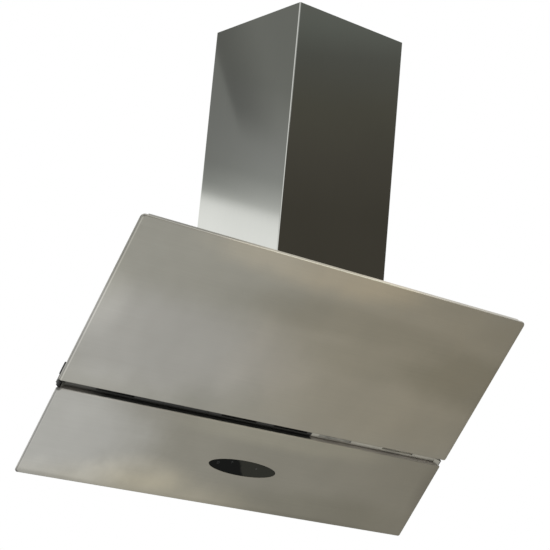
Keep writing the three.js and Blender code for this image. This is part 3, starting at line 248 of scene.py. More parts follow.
def block(
    bm: bmesh.types.BMesh, place: Place, span: tuple[float, float, float, float, float, float],
    corner: float, edge: float,
) -> None:
    """Adds a box with rounded corners and rims.

    Args:
        bm: the mesh that takes it.
        place: turns three coordinates into a point.
        span: low and high of each of the three coordinates.
        corner: radius of its four corners.
        edge: radius of its rims.
    """
    a0, a1, b0, b1, c0, c1 = span
    middle = (a0 + a1) / 2

    def outline(inset: float) -> list:
        """Gives the box's outline, drawn in."""
        shape = rounded_outline((a1 - a0) / 2, b0, b1, corner, corner, inset, 3)
        return [(middle + a, b) for a, b in shape]

    slab(bm, outline, place, c0, c1, edge)


def add_screw(bm: bmesh.types.BMesh, place: Place, shank: float = 7.9) -> None:
    """Adds a pan-head screw with a hexagon socket.

    Args:
        bm: the mesh that takes it.
        place: turns two coordinates across the axis and a height above the head's seat into a point.
        shank: length below the seat.
    """
    profile = (
        (1.3, -shank, 0), (2.0, 0.7 - shank, 0), (2.0, 0.0, 0), (3.35, 0.0, 0), (3.4, 0.5, 0),
        (3.2, 1.2, 0), (2.6, 1.85, 0), (1.95, 2.15, 0), (1.5, 2.05, 1), (1.45, 0.8, 1),
    )
    rings = []
    for radius, height, hexagonal in profile:
        ring = []
        for angle in full_turn(24):
            flat = math.cos(math.pi / 6) / math.cos(angle % (math.pi / 3) - math.pi / 6)
            reach = radius * (flat if hexagonal else 1.0)
            ring.append(place(reach * math.cos(angle), reach * math.sin(angle), height))
        rings.append(ring)
    loft(bm, rings)


def add_rivet(bm: bmesh.types.BMesh, place: Place, radius: float = 2.6, height: float = 0.9) -> None:
    """Adds a domed rivet head.

    Args:
        bm: the mesh that takes it.
        place: turns two coordinates across the axis and a height above the sheet into a point.
        radius: the head's radius.
        height: the dome's height.
    """
    levels = ((1.0, -0.3), (1.0, 0.15), (0.93, 0.5), (0.7, 0.82), (0.38, 0.97), (0.12, 1.0))
    turns = full_turn(16)
    loft(bm, [
        [place(radius * r * math.cos(t), radius * r * math.sin(t), height * h) for t in turns]
        for r, h in levels
    ])


def lathe(bm: bmesh.types.BMesh, profile: Sequence[tuple[float, float]], place: Place, steps: int) -> None:
    """Adds a ring: a closed profile turned about the place's third axis.

    Args:
        bm: the mesh that takes it.
        profile: pairs of radius and height.
        place: turns two coordinates across the axis and a height into a point.
        steps: segments of the full turn.
    """
    loft(bm, [
        [place(radius * math.cos(t), radius * math.sin(t), height) for t in full_turn(steps)]
        for radius, height in profile
    ], closed=True)


def add_bevel(shown: bpy.types.Object, width: float, limit: float) -> None:
    """Rounds an object's steep edges.

    Args:
        shown: the object.
        width: the rounding's width in millimetres.
        limit: edges steeper than this many degrees are rounded.
    """
    bevel = shown.modifiers.new("bevel", "BEVEL")
    bevel.width = width * MM
    bevel.segments = 2
    bevel.limit_method = "ANGLE"
    bevel.angle_limit = math.radians(limit)


@dataclass
class Piece:
    """A new mesh piece while it is made, then its object."""

    name: str
    body: Body
    slot: Slot
    mesh: bmesh.types.BMesh = field(default_factory=bmesh.new)

    def done(
        self, material: bpy.types.Material, replaced: Iterable[str] = (), bevel: float = 0.0,
    ) -> None:
        """Turns the mesh into an object that rides on its body.

        Args:
            material: what it is made of.
            replaced: CAD nodes that it stands for.
            bevel: width in millimetres of a bevel on steep edges, or 0 for none.
        """
        bmesh.ops.recalc_face_normals(self.mesh, faces=self.mesh.faces)
        for face in self.mesh.faces:
            face.smooth = True
        for edge in self.mesh.edges:
            if len(edge.link_faces) == 2:
                edge.smooth = edge.calc_face_angle(0.0) < math.radians(SHARP_EDGE)
        data = bpy.data.meshes.new(self.name)
        self.mesh.to_mesh(data)
        self.mesh.free()
        data.materials.append(material)
        made = bpy.data.objects.new(self.name, data)
        bpy.context.scene.collection.objects.link(made)
        if bevel:
            add_bevel(made, bevel, SKIN_BEVEL_EDGE)
        made.modifiers.new("normals", "WEIGHTED_NORMAL").keep_sharp = True
        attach(made, self.body.value)
        if replaced:
            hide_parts(*replaced)
        LOG.info("made %s with %d faces", self.name, len(data.polygons))


def soften_group() -> bpy.types.NodeTree:
    """A geometry node group that welds a mesh's loose corners and shades it smooth.

    Returns:
        The node group.
    """
    name = "soften"
    if name in bpy.data.node_groups:
        return bpy.data.node_groups[name]
    tree = bpy.data.node_groups.new(name, "GeometryNodeTree")
    tree.interface.new_socket("Geometry", in_out="INPUT", socket_type="NodeSocketGeometry")
    tree.interface.new_socket("Geometry", in_out="OUTPUT", socket_type="NodeSocketGeometry")
    start = tree.nodes.new("NodeGroupInput")
    weld = tree.nodes.new("GeometryNodeMergeByDistance")
    weld.inputs["Distance"].default_value = 2e-6
    smooth = tree.nodes.new("GeometryNodeSetShadeSmooth")
    end = tree.nodes.new("NodeGroupOutput")
    tree.links.new(start.outputs[0], weld.inputs["Geometry"])
    tree.links.new(weld.outputs["Geometry"], smooth.inputs["Geometry"])
    tree.links.new(smooth.outputs["Geometry"], end.inputs[0])
    return tree


def dress(node: str, material: bpy.types.Material, edge: float = 0.3) -> None:
    """Gives a CAD node its material and softened edges.

    Args:
        node: the node's name.
        material: what it is made of.
        edge: width of its bevelled edges in millimetres.
    """
    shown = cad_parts[node]
    shown.data.materials.clear()
    shown.data.materials.append(material)
    soften = shown.modifiers.new("soften", "NODES")
    soften.node_group = soften_group()
    flatten = shown.modifiers.new("flatten", "DECIMATE")
    flatten.decimate_type = "DISSOLVE"
    flatten.angle_limit = math.radians(0.5)
    add_bevel(shown, edge, NODE_BEVEL_EDGE)
    shown.modifiers.new("normals", "WEIGHTED_NORMAL").keep_sharp = False
    LOG.info("dressed %s", node)


# ---- materials --------------------------------------------------------------------------------
class Nodes:
    """A small builder for a node tree that shades."""

    def __init__(self, tree: bpy.types.NodeTree, coordinates: str) -> None:
        """Empties the tree and takes its coordinates.

        Args:
            tree: the node tree.
            coordinates: which output of Texture Coordinate it starts from.
        """
        self.tree = tree
        self.tree.nodes.clear()
        self.coordinates = self.add("ShaderNodeTexCoord").outputs[coordinates]

    def add(self, kind: str, **settings: object) -> bpy.types.Node:
        """Adds a node.

        Args:
            kind: the node's type.
            settings: its properties.

        Returns:
            The node.
        """
        node = self.tree.nodes.new(kind)
        for key, value in settings.items():
            setattr(node, key, value)
        return node

    def feed(self, node: bpy.types.Node, key: object, value: object) -> None:
        """Links an output to an input, or sets the input's own value.

        Args:
            node: the node that takes it.
            key: the input's name or number.
            value: an output socket, or a plain value.
        """
        if isinstance(value, bpy.types.NodeSocket):
            self.tree.links.new(value, node.inputs[key])
        else:
            node.inputs[key].default_value = value

    def axes(self) -> tuple[bpy.types.NodeSocket, ...]:
        """The coordinates' three numbers.

        Returns:
            Sockets for X, Y and Z.
        """
        node = self.add("ShaderNodeSeparateXYZ")
        self.feed(node, 0, self.coordinates)
        return tuple(node.outputs)

    def stretched(self, scale: Sequence[float]) -> bpy.types.NodeSocket:
        """The coordinates with a scale along each axis.

        Args:
            scale: three factors.

        Returns:
            The scaled vector.
        """
        node = self.add("ShaderNodeMapping")
        self.feed(node, "Vector", self.coordinates)
        node.inputs["Scale"].default_value = tuple(scale)
        return node.outputs[0]

    def noise(
        self, scale: float, detail: float = 3.0, roughness: float = 0.55,
        vector: bpy.types.NodeSocket | None = None,
    ) -> bpy.types.NodeSocket:
        """Smooth noise from 0 to 1.

        Args:
            scale: how many blobs a metre.
            detail: octaves.
            roughness: weight of the finer octaves.
            vector: coordinates, or None for the tree's own.

        Returns:
            The noise.
        """
        node = self.add("ShaderNodeTexNoise")
        self.feed(node, "Vector", self.coordinates if vector is None else vector)
        self.feed(node, "Scale", scale)
        self.feed(node, "Detail", detail)
        self.feed(node, "Roughness", roughness)
        return node.outputs["Fac"]

    def spread(
        self, value: bpy.types.NodeSocket, low: float, high: float, start: float = 0.3, end: float = 0.7,
    ) -> bpy.types.NodeSocket:
        """Maps a value from one range to another, with soft ends.

        Args:
            value: the value.
            low: result at start.
            high: result at end.
            start: value that gives low.
            end: value that gives high.

        Returns:
            The mapped value.
        """
        node = self.add("ShaderNodeMapRange", interpolation_type="SMOOTHSTEP")
        self.feed(node, "Value", value)
        for key, number in (("From Min", start), ("From Max", end), ("To Min", low), ("To Max", high)):
            self.feed(node, key, number)
        return node.outputs["Result"]

    def calculate(self, operation: str, *values: object) -> bpy.types.NodeSocket:
        """Does arithmetic on values.

        Args:
            operation: a Math node's operation.
            values: its inputs.

        Returns:
            The result.
        """
        node = self.add("ShaderNodeMath", operation=operation)
        for index, value in enumerate(values):
            self.feed(node, index, value)
        return node.outputs[0]

    def blend(
        self, share: object, first: object, second: object, mode: str = "MIX",
    ) -> bpy.types.NodeSocket:
        """Mixes two colours.

        Args:
            share: how much of the second.
            first: colour at 0.
            second: colour at 1.
            mode: how they mix.

        Returns:
            The mixed colour.
        """
        node = self.add("ShaderNodeMix", data_type="RGBA", blend_type=mode)
        self.feed(node, "Factor", share)
        for key, value in ((6, first), (7, second)):
            self.feed(node, key, value if isinstance(value, bpy.types.NodeSocket) else (*value, 1.0))
        return node.outputs[2]

    def ramp(
        self, value: bpy.types.NodeSocket, stops: Sequence[tuple[float, Color]],
    ) -> bpy.types.NodeSocket:
        """Colours a value from a list of stops.

        Args:
            value: the value, from 0 to 1.
            stops: pairs of a value and its colour, in order.

        Returns:
            The colour.
        """
        node = self.add("ShaderNodeValToRGB")
        self.feed(node, 0, value)
        elements = node.color_ramp.elements
        while len(elements) < len(stops):
            elements.new(0.5)
        for element, (position, color) in zip(elements, stops):
            element.position = position
            element.color = (*color, 1.0)
        return node.outputs[0]


class Shader(Nodes):
    """A builder for a procedural material."""

    def __init__(self, name: str) -> None:
        """Starts a material with one Principled shader.

        Args:
            name: the material's name.
        """
        self.material = bpy.data.materials.new(name)
        self.material.use_nodes = True
        super().__init__(self.material.node_tree, "Object")
        self.principled = self.add("ShaderNodeBsdfPrincipled")
        self.output = self.add("ShaderNodeOutputMaterial")
        self.tree.links.new(self.principled.outputs[0], self.output.inputs["Surface"])

    def base(self, **values: object) -> None:
        """Sets or links inputs of the Principled shader, whose names have _ for a space here."""
        for key, value in values.items():
            self.feed(self.principled, key.replace("_", " "), value)

    def bump(
        self, height: bpy.types.NodeSocket, strength: float, distance: float,
        normal: bpy.types.NodeSocket | None = None,
    ) -> bpy.types.NodeSocket:
        """A bump from a height.

        Args:
            height: the height from 0 to 1.
            strength: how much of it shows.
            distance: how high 1 stands, in metres.
            normal: a bump below this one.

        Returns:
            The bent normal.
        """
        node = self.add("ShaderNodeBump")
        self.feed(node, "Height", height)
        self.feed(node, "Strength", strength)
        self.feed(node, "Distance", distance)
        if normal is not None:
            self.feed(node, "Normal", normal)
        return node.outputs[0]

    def mix(
        self, share: bpy.types.NodeSocket, first: bpy.types.Node, second: bpy.types.Node,
    ) -> bpy.types.Node:
        """Mixes two shaders.

        Args:
            share: how much of the second.
            first: shader node at 0.
            second: shader node at 1.

        Returns:
            The mixing node.
        """
        node = self.add("ShaderNodeMixShader")
        for index, value in enumerate((share, first.outputs[0], second.outputs[0])):
            self.feed(node, index, value)
        return node

    def patch(self, centre: Vector, reach: Vector, ragged: float) -> bpy.types.NodeSocket:
        """A soft oval patch: 1 at its centre, 0 outside.

        Args:
            centre: its middle, in metres.
            reach: how far it reaches along each axis.
            ragged: how much noise frays its edge.

        Returns:
            The patch's strength.
        """
        place = self.add("ShaderNodeVectorMath", operation="SUBTRACT")
        self.feed(place, 0, self.coordinates)
        self.feed(place, 1, centre)
        scaled = self.add("ShaderNodeVectorMath", operation="DIVIDE")
        self.feed(scaled, 0, place.outputs[0])
        self.feed(scaled, 1, reach)
        length = self.add("ShaderNodeVectorMath", operation="LENGTH")
        self.feed(length, 0, scaled.outputs[0])
        frayed = self.calculate("MULTIPLY_ADD", self.noise(14.0, 4.0), ragged, length.outputs["Value"])
        return self.spread(frayed, 1.0, 0.0, 0.35 + ragged / 2, 1.0 + ragged / 2)


def tinted(color: Color, factor: float) -> Color:
    """Gives a colour multiplied by a factor, no channel past 1."""
    return tuple(min(channel * factor, 1.0) for channel in color)


@dataclass(frozen=True)
class PaintedLightPatch:
    """A soft patch of painted light on a sheet, placed on the slope in millimetres: lighter ones are painted
    reflections and highlights, darker ones painted shade.
    """

    x: float
    s: float
    half_x: float
    half_s: float
    tint: Color
    ragged: float = 0.35


@dataclass(frozen=True)
class Steel:
    """Bare steel sheet with a brushed or polished grain and soft handling marks, with painted reflections,
    highlights and shade laid on as patches.
    """

    name: str
    color: Color
    roughness: float
    grain: Grain
    depth: float = 2e-5
    marks: float = 0.05
    fleck: float = 0.22
    waves: float = 0.0
    wave_scale: float = 3.2
    painted_light: tuple[PaintedLightPatch, ...] = ()

    def material(self) -> bpy.types.Material:
        """Builds the material.

        Returns:
            The material.
        """
        shader = Shader(self.name)
        fibre = shader.noise(1.0, 2.0, 0.6, shader.stretched(self.grain.value))
        cloud = shader.noise(5.0, 4.0, 0.5)
        smear = shader.noise(16.0, 5.0, 0.65)
        worn = shader.spread(cloud, 0.0, 1.0)
        color = shader.blend(worn, tinted(self.color, 1 - self.marks), tinted(self.color, 1 + self.marks))
        color = shader.blend(shader.spread(fibre, 0.0, self.fleck), color, tinted(self.color, 0.86))
        # The patches multiply painted reflections, highlights and shade into the steel's colour.
        for tone_patch in self.painted_light:
            along = math.sqrt(2) * tone_patch.half_s
            reach = Vector((tone_patch.half_x, along * math.sin(TILT), along * math.cos(TILT))) * MM
            share = shader.patch(on_slope(tone_patch.x, tone_patch.s, 0.0), reach, tone_patch.ragged)
            color = shader.blend(share, color, tone_patch.tint, "MULTIPLY")
        rough = shader.spread(smear, self.roughness * 0.9, self.roughness * 1.12)
        grainy = self.roughness * 0.06
        rough = shader.calculate("ADD", rough, shader.spread(fibre, -grainy, grainy))
        normal = None
        if self.waves:
            normal = shader.bump(shader.noise(self.wave_scale, 1.0, 0.4), 1.0, self.waves)
        normal = shader.bump(fibre, 0.35, self.depth, normal)
        shader.base(Base_Color=color, Metallic=1.0, Roughness=rough, Normal=normal)
        return shader.material


@dataclass(frozen=True)
class SlotPaintedShade:
    """Slot metal, dark from one place to another as painted shade and duller steel past its ends, the left
    end lightened by a painted reflection.
    """

    name: str
    steel: Color
    # The dark colour from start to end is painted shade.
    shade_color: Color = (0.026, 0.026, 0.023)
    start: float = -0.372
    end: float = 0.112
    left_reflection_share: float = 0.75
    metallic: float = 0.5

    def material(self) -> bpy.types.Material:
        """Builds the material.

        Returns:
            The material.
        """
        shader = Shader(self.name)
        across = shader.axes()[0]
        # The dark band from start to end is painted shade; beyond the left end a share of lighter steel is a
        # painted reflection.
        right = shader.spread(across, 0.0, 1.0, self.end - 0.0005, self.end + 0.0005)
        left = shader.spread(across, self.left_reflection_share, 0.0, self.start - 0.03, self.start + 0.03)
        lit_share = shader.calculate("ADD", right, left)
        film = shader.noise(26.0, 5.0, 0.7)
        steel = shader.blend(shader.spread(film, 0.0, 1.0), tinted(self.steel, 0.85), tinted(self.steel, 1.1))
        normal = shader.bump(shader.noise(500.0, 2.0), 0.2, 2e-5)
        metal = shader.calculate("MULTIPLY", lit_share, self.metallic)
        shader.base(Base_Color=shader.blend(lit_share, self.shade_color, steel), Metallic=metal, Normal=normal)
        shader.base(Roughness=shader.spread(film, 0.34, 0.46))
        return shader.material


@dataclass(frozen=True)
class Galvanised:
    """Zinc-coated sheet with crystal spangle and dull stains."""

    name: str
    color: Color = (0.42, 0.44, 0.45)

    def material(self) -> bpy.types.Material:
        """Builds the material.

        Returns:
            The material.
        """
        shader = Shader(self.name)
        crystal = shader.add("ShaderNodeTexVoronoi", feature="F1")
        shader.feed(crystal, "Vector", shader.coordinates)
        shader.feed(crystal, "Scale", 95.0)
        tone = shader.add("ShaderNodeSeparateColor")
        shader.feed(tone, 0, crystal.outputs["Color"])
        tone_patch = shader.noise(9.0, 5.0, 0.6)
        color = shader.blend(tone.outputs[0], tinted(self.color, 0.82), tinted(self.color, 1.12))
        dull = shader.spread(tone_patch, 0.0, 0.35, 0.45, 0.75)
        color = shader.blend(dull, color, tinted(self.color, 0.7))
        rough = shader.spread(tone.outputs[1], 0.34, 0.5, 0.0, 1.0)
        rough = shader.calculate("ADD", rough, shader.spread(tone_patch, 0.0, 0.14))
        normal = shader.bump(shader.noise(240.0, 2.0), 0.15, 4e-5)
        shader.base(Base_Color=color, Metallic=0.9, Roughness=rough, Normal=normal)
        return shader.material


@dataclass(frozen=True)
class Moulded:
    """Moulded plastic or paint with a fine skin, dust and dull spots."""

    name: str
    color: Color
    roughness: float
    skin: float = 3e-5
    scale: float = 900.0

    def material(self) -> bpy.types.Material:
        """Builds the material.

        Returns:
            The material.
        """
        shader = Shader(self.name)
        skin = shader.noise(self.scale, 2.0, 0.5)
        dust = shader.noise(22.0, 6.0, 0.7)
        dusty = shader.spread(dust, 0.0, 0.5, 0.5, 0.8)
        color = shader.blend(dusty, self.color, tuple(channel + 0.035 for channel in self.color))
        rough = shader.calculate("ADD", shader.spread(dust, 0.0, 0.12), self.roughness)
        normal = shader.bump(skin, 0.4, self.skin)
        shader.base(Base_Color=color, Roughness=rough, Normal=normal)
        return shader.material


@dataclass(frozen=True)
class SmokedGlass:
    """Dark printed glass: deep at one end, a little paler behind its display end, where the paler tone is a
    painted reflection.
    """

    name: str = "smoked_glass"
    deep: Color = (0.003, 0.0035, 0.003)
    reflected_tone: Color = (0.011, 0.0115, 0.005)
    lean: float = 0.97
    edge: float = -0.155

    def material(self) -> bpy.types.Material:
        """Builds the material.

        Returns:
            The material.
        """
        shader = Shader(self.name)
        x, _, z = shader.axes()
        lean = shader.calculate("MULTIPLY_ADD", z, self.lean, x)
        frayed = shader.calculate("MULTIPLY_ADD", shader.noise(70.0, 3.0), 0.02, lean)
        share = shader.spread(frayed, 0.0, 1.0, self.edge + 0.005, self.edge + 0.015)
        # The paler zone past the slanted line is a painted reflection.
        shader.base(Base_Color=shader.blend(share, self.deep, self.reflected_tone))
        rough = shader.spread(shader.noise(35.0, 5.0, 0.7), 0.05, 0.13)
        gloss = shader.spread(share, 0.1, 0.32, 0.0, 1.0)
        shader.base(Roughness=rough, Specular_IOR_Level=gloss)
        return shader.material


@dataclass(frozen=True)
class WovenWire:
    """Expanded aluminium mesh of a grease filter, its gaps painted dark as the shade seen through them."""

    name: str = "filter_wire"
    color: Color = (0.52, 0.53, 0.54)
    gap_shade: Color = (0.03, 0.03, 0.028)
    grease: Color = (0.3, 0.26, 0.18)
    cells: float = 330.0

    def material(self) -> bpy.types.Material:
        """Builds the material.

        Returns:
            The material.
        """
        shader = Shader(self.name)
        cells = shader.add("ShaderNodeTexVoronoi", feature="DISTANCE_TO_EDGE")
        shader.feed(cells, "Vector", shader.stretched((0.6, 1.0, 1.0)))
        shader.feed(cells, "Scale", self.cells)
        wire = shader.spread(cells.outputs["Distance"], 1.0, 0.0, 0.04, 0.16)
        film = shader.noise(14.0, 5.0, 0.7)
        # The gaps between the wires are painted shade.
        color = shader.blend(wire, self.gap_shade, self.color)
        color = shader.blend(shader.spread(film, 0.0, 0.3), color, self.grease)
        normal = shader.bump(wire, 0.9, 6e-4)
        shader.base(Base_Color=color, Metallic=0.9, Normal=normal)
        shader.base(Roughness=shader.spread(film, 0.32, 0.5))
        return shader.material


@dataclass(frozen=True)
class CircuitBoard:
    """Solder mask with copper tracks under it."""

    name: str = "circuit_board"
    mask: Color = (0.012, 0.09, 0.035)
    track: Color = (0.03, 0.19, 0.07)

    def material(self) -> bpy.types.Material:
        """Builds the material.

        Returns:
            The material.
        """
        shader = Shader(self.name)
        track = shader.add("ShaderNodeTexBrick")
        shader.feed(track, "Vector", shader.coordinates)
        shader.feed(track, "Scale", 160.0)
        shader.feed(track, "Mortar Size", 0.03)
        color = shader.blend(track.outputs["Fac"], self.mask, self.track)
        normal = shader.bump(track.outputs["Fac"], 0.5, 5e-5)
        shader.base(Base_Color=color, Normal=normal, Coat_Weight=0.4)
        shader.base(Roughness=shader.spread(shader.noise(80.0), 0.3, 0.5))
        return shader.material


@dataclass(frozen=True)
class Frosted:
    """Frosted lamp cover, unlit; the left one is darkened with painted shade like the rail around it, and
    both carry a dull film of the same dark tone.
    """

    name: str = "frosted_cover"
    color: Color = (0.4, 0.385, 0.335)
    shade_and_film: Color = (0.02, 0.02, 0.018)

    def material(self) -> bpy.types.Material:
        """Builds the material.

        Returns:
            The material.
        """
        shader = Shader(self.name)
        grain = shader.noise(1400.0, 2.0)
        film = shader.noise(40.0, 4.0, 0.6)
        # Left of the middle the cover takes the dark tone as painted shade.
        right = shader.spread(shader.axes()[0], 0.0, 1.0, -0.0005, 0.0005)
        clean = shader.blend(right, self.shade_and_film, self.color)
        color = shader.blend(shader.spread(film, 0.0, 0.4), clean, self.shade_and_film)
        shader.base(Base_Color=color, Normal=shader.bump(grain, 0.5, 4e-5))
        shader.base(Roughness=shader.spread(film, 0.38, 0.55))
        return shader.material


# Painted light on the upper panel: broad lighter and darker patches are painted reflections and shade, the
# thin lines along its top and left edges painted highlights and edge shade, the dark top-left corner painted
# shade.
UPPER_PAINTED_LIGHT = (
    PaintedLightPatch(-60, 2, 330, 62, (1.3, 1.24, 1.16)),
    PaintedLightPatch(60, 92, 380, 46, (0.88, 0.88, 0.87)),
    PaintedLightPatch(400, 150, 240, 80, (0.82, 0.82, 0.8)),
    PaintedLightPatch(160, 160, 220, 50, (0.93, 0.93, 0.92)),
    PaintedLightPatch(-468, 165, 90, 100, (1.18, 1.18, 1.18)),
    PaintedLightPatch(-300, 212, 420, 122, (1.17, 1.17, 1.23)),
    PaintedLightPatch(-380, 330, 230, 70, (1.16, 1.16, 1.18)),
    PaintedLightPatch(200, 150, 440, 320, (1.04, 1.0, 0.94)),
    PaintedLightPatch(452, 162, 18, 420, (0.95, 0.95, 0.95), ragged=0.1),
    PaintedLightPatch(0, -0.4, 640, 2.6, (1.9, 1.9, 1.9), ragged=0.1),
    PaintedLightPatch(-451, 162, 3.0, 500, (0.75, 0.75, 0.76), ragged=0.1),
    PaintedLightPatch(-447.2, 162, 1.8, 460, (1.3, 1.3, 1.3), ragged=0.1),
    PaintedLightPatch(-449, 0, 7, 6, (0.3, 0.3, 0.3), ragged=0.1),
)
# Painted light on the lower panel: broad lighter patches and the thin lines along its top edge are painted
# reflections and highlights; the darker bands along its bottom and left edges and its dark corners are
# painted shade.
LOWER_PAINTED_LIGHT = (
    PaintedLightPatch(-450, 412, 320, 170, (1.5, 1.54, 1.68)),
    PaintedLightPatch(-190, 522, 360, 80, (1.3, 1.27, 1.2)),
    PaintedLightPatch(60, 346, 320, 34, (1.15, 1.15, 1.12)),
    PaintedLightPatch(-60, 337, 420, 2.6, (1.22, 1.22, 1.22), ragged=0.1),
    PaintedLightPatch(-370, 337, 110, 2.6, (1.2, 1.2, 1.2), ragged=0.1),
    PaintedLightPatch(220, 490, 300, 64, (0.88, 0.88, 0.86)),
    PaintedLightPatch(470, 390, 62, 150, (0.82, 0.82, 0.82)),
    PaintedLightPatch(-205, 466, 130, 46, (1.22, 1.2, 1.16)),
    PaintedLightPatch(-400, 508, 170, 13, (0.78, 0.78, 0.78), ragged=0.15),
    PaintedLightPatch(120, 508, 460, 12, (0.9, 0.9, 0.9), ragged=0.15),
    PaintedLightPatch(-447, 424, 3.0, 300, (0.7, 0.7, 0.71), ragged=0.1),
    PaintedLightPatch(-446, 508, 7, 6, (0.35, 0.35, 0.35), ragged=0.1),
    PaintedLightPatch(-445, 337, 9, 6, (0.3, 0.3, 0.3), ragged=0.1),
)


class Finishes:
    """Every material of the hood, built once."""

    def __init__(self) -> None:
        """Builds the materials."""
        satin = Steel("satin_steel", (0.48, 0.468, 0.42), 0.34, Grain.ACROSS, fleck=0.14, waves=4e-4)
        self.upper = replace(satin, name="satin_upper", painted_light=UPPER_PAINTED_LIGHT).material()
        # The lower panel takes the same satin steel with a darker colour: painted shade.
        self.lower = replace(
            satin, name="satin_lower", color=(0.415, 0.397, 0.345), painted_light=LOWER_PAINTED_LIGHT,
        ).material()
        # The slot's flange and rail take the painted shade band, with a lighter left end as a painted
        # reflection.
        self.flange = SlotPaintedShade(
            "slot_flange", (0.34, 0.31, 0.27), left_reflection_share=0.45, metallic=0.1,
        ).material()
        self.rail = SlotPaintedShade("slot_rail_painted_shade", (0.62, 0.6, 0.53), left_reflection_share=0.12).material()
        self.cover = Steel(
            "polished_steel", (0.68, 0.685, 0.66), 0.03, Grain.UPRIGHT, depth=8e-7, marks=0.025, fleck=0.1,
            waves=1.2e-5, wave_scale=11.0,
        ).material()
        self.zinc = Steel("zinc_plate", (0.55, 0.56, 0.55), 0.3, Grain.EVEN, marks=0.1).material()
        self.aluminium = Steel("aluminium", (0.6, 0.61, 0.61), 0.36, Grain.ACROSS, marks=0.07).material()
        self.galvanised = Galvanised("galvanised").material()
        self.black = Moulded("black_plastic", (0.013, 0.013, 0.012), 0.48).material()
        self.grey = Moulded("grey_plastic", (0.16, 0.165, 0.16), 0.5).material()
        self.glass = SmokedGlass().material()
        self.wire = WovenWire().material()
        self.board = CircuitBoard().material()
        self.frosted = Frosted().material()
        self.print = Moulded("printed_mark", (0.05, 0.052, 0.05), 0.6).material()


# ---- sub-assemblies ---------------------------------------------------------------------------
@dataclass(frozen=True)
class Tray:
    """A folded steel panel: a flat front with a bent rim and a hollow back."""

    half: float
    top: float
    bottom: float
    r_top: float
    r_bottom: float
    sheet: float = 1.2
    bend: float = 1.9
    fold: float = 5.0

    def outline(self, inset: float) -> list:
        """Gives the panel's outline, drawn in by the inset, as pairs of x and s."""
        return rounded_outline(self.half, self.top, self.bottom, self.r_top, self.r_bottom, inset, 10)

    def ring(self, inset: float, depth: float) -> Ring:
        """Gives one ring of the skin, drawn in by the inset and so deep behind the front face."""
        return [on_slope(x, s, -depth) for x, s in self.outline(inset)]

    def rings(self) -> list[Ring]:
        """All rings, from the front face's edge over the rim to the back face's edge.

        Returns:
            The rings.
        """
        steps = 6
        turns = [math.radians(90 * i / steps) for i in range(steps + 1)]
        inner = self.bend - self.sheet
        made = [self.ring(self.bend + 1.2, 0.0)]
        made += [self.ring(self.bend * (1 - math.sin(a)), self.bend * (1 - math.cos(a))) for a in turns]
        made += [self.ring(0.0, self.fold - 0.3), self.ring(0.3, self.fold)]
        made += [self.ring(self.sheet - 0.3, self.fold), self.ring(self.sheet, self.fold - 0.3)]
        for a in reversed(turns):
            inset = self.sheet + inner * (1 - math.sin(a))
            made.append(self.ring(inset, self.sheet + inner * (1 - math.cos(a))))
        made.append(self.ring(self.bend + 1.2, self.sheet))
        return made


def fill_between(bm: bmesh.types.BMesh, outer: list, inner: list) -> None:
    """Fills the flat face between an outer and an inner ring of vertices.

    Args:
        bm: the mesh.
        outer: the outer ring.
        inner: the inner ring.
    """
    edges = []
    for ring in (outer, inner):
        for low, high in zip(ring, ring[1:] + ring[:1]):
            edges.append(bm.edges.get((low, high)) or bm.edges.new((low, high)))
    bmesh.ops.triangle_fill(bm, edges=edges, use_beauty=True)


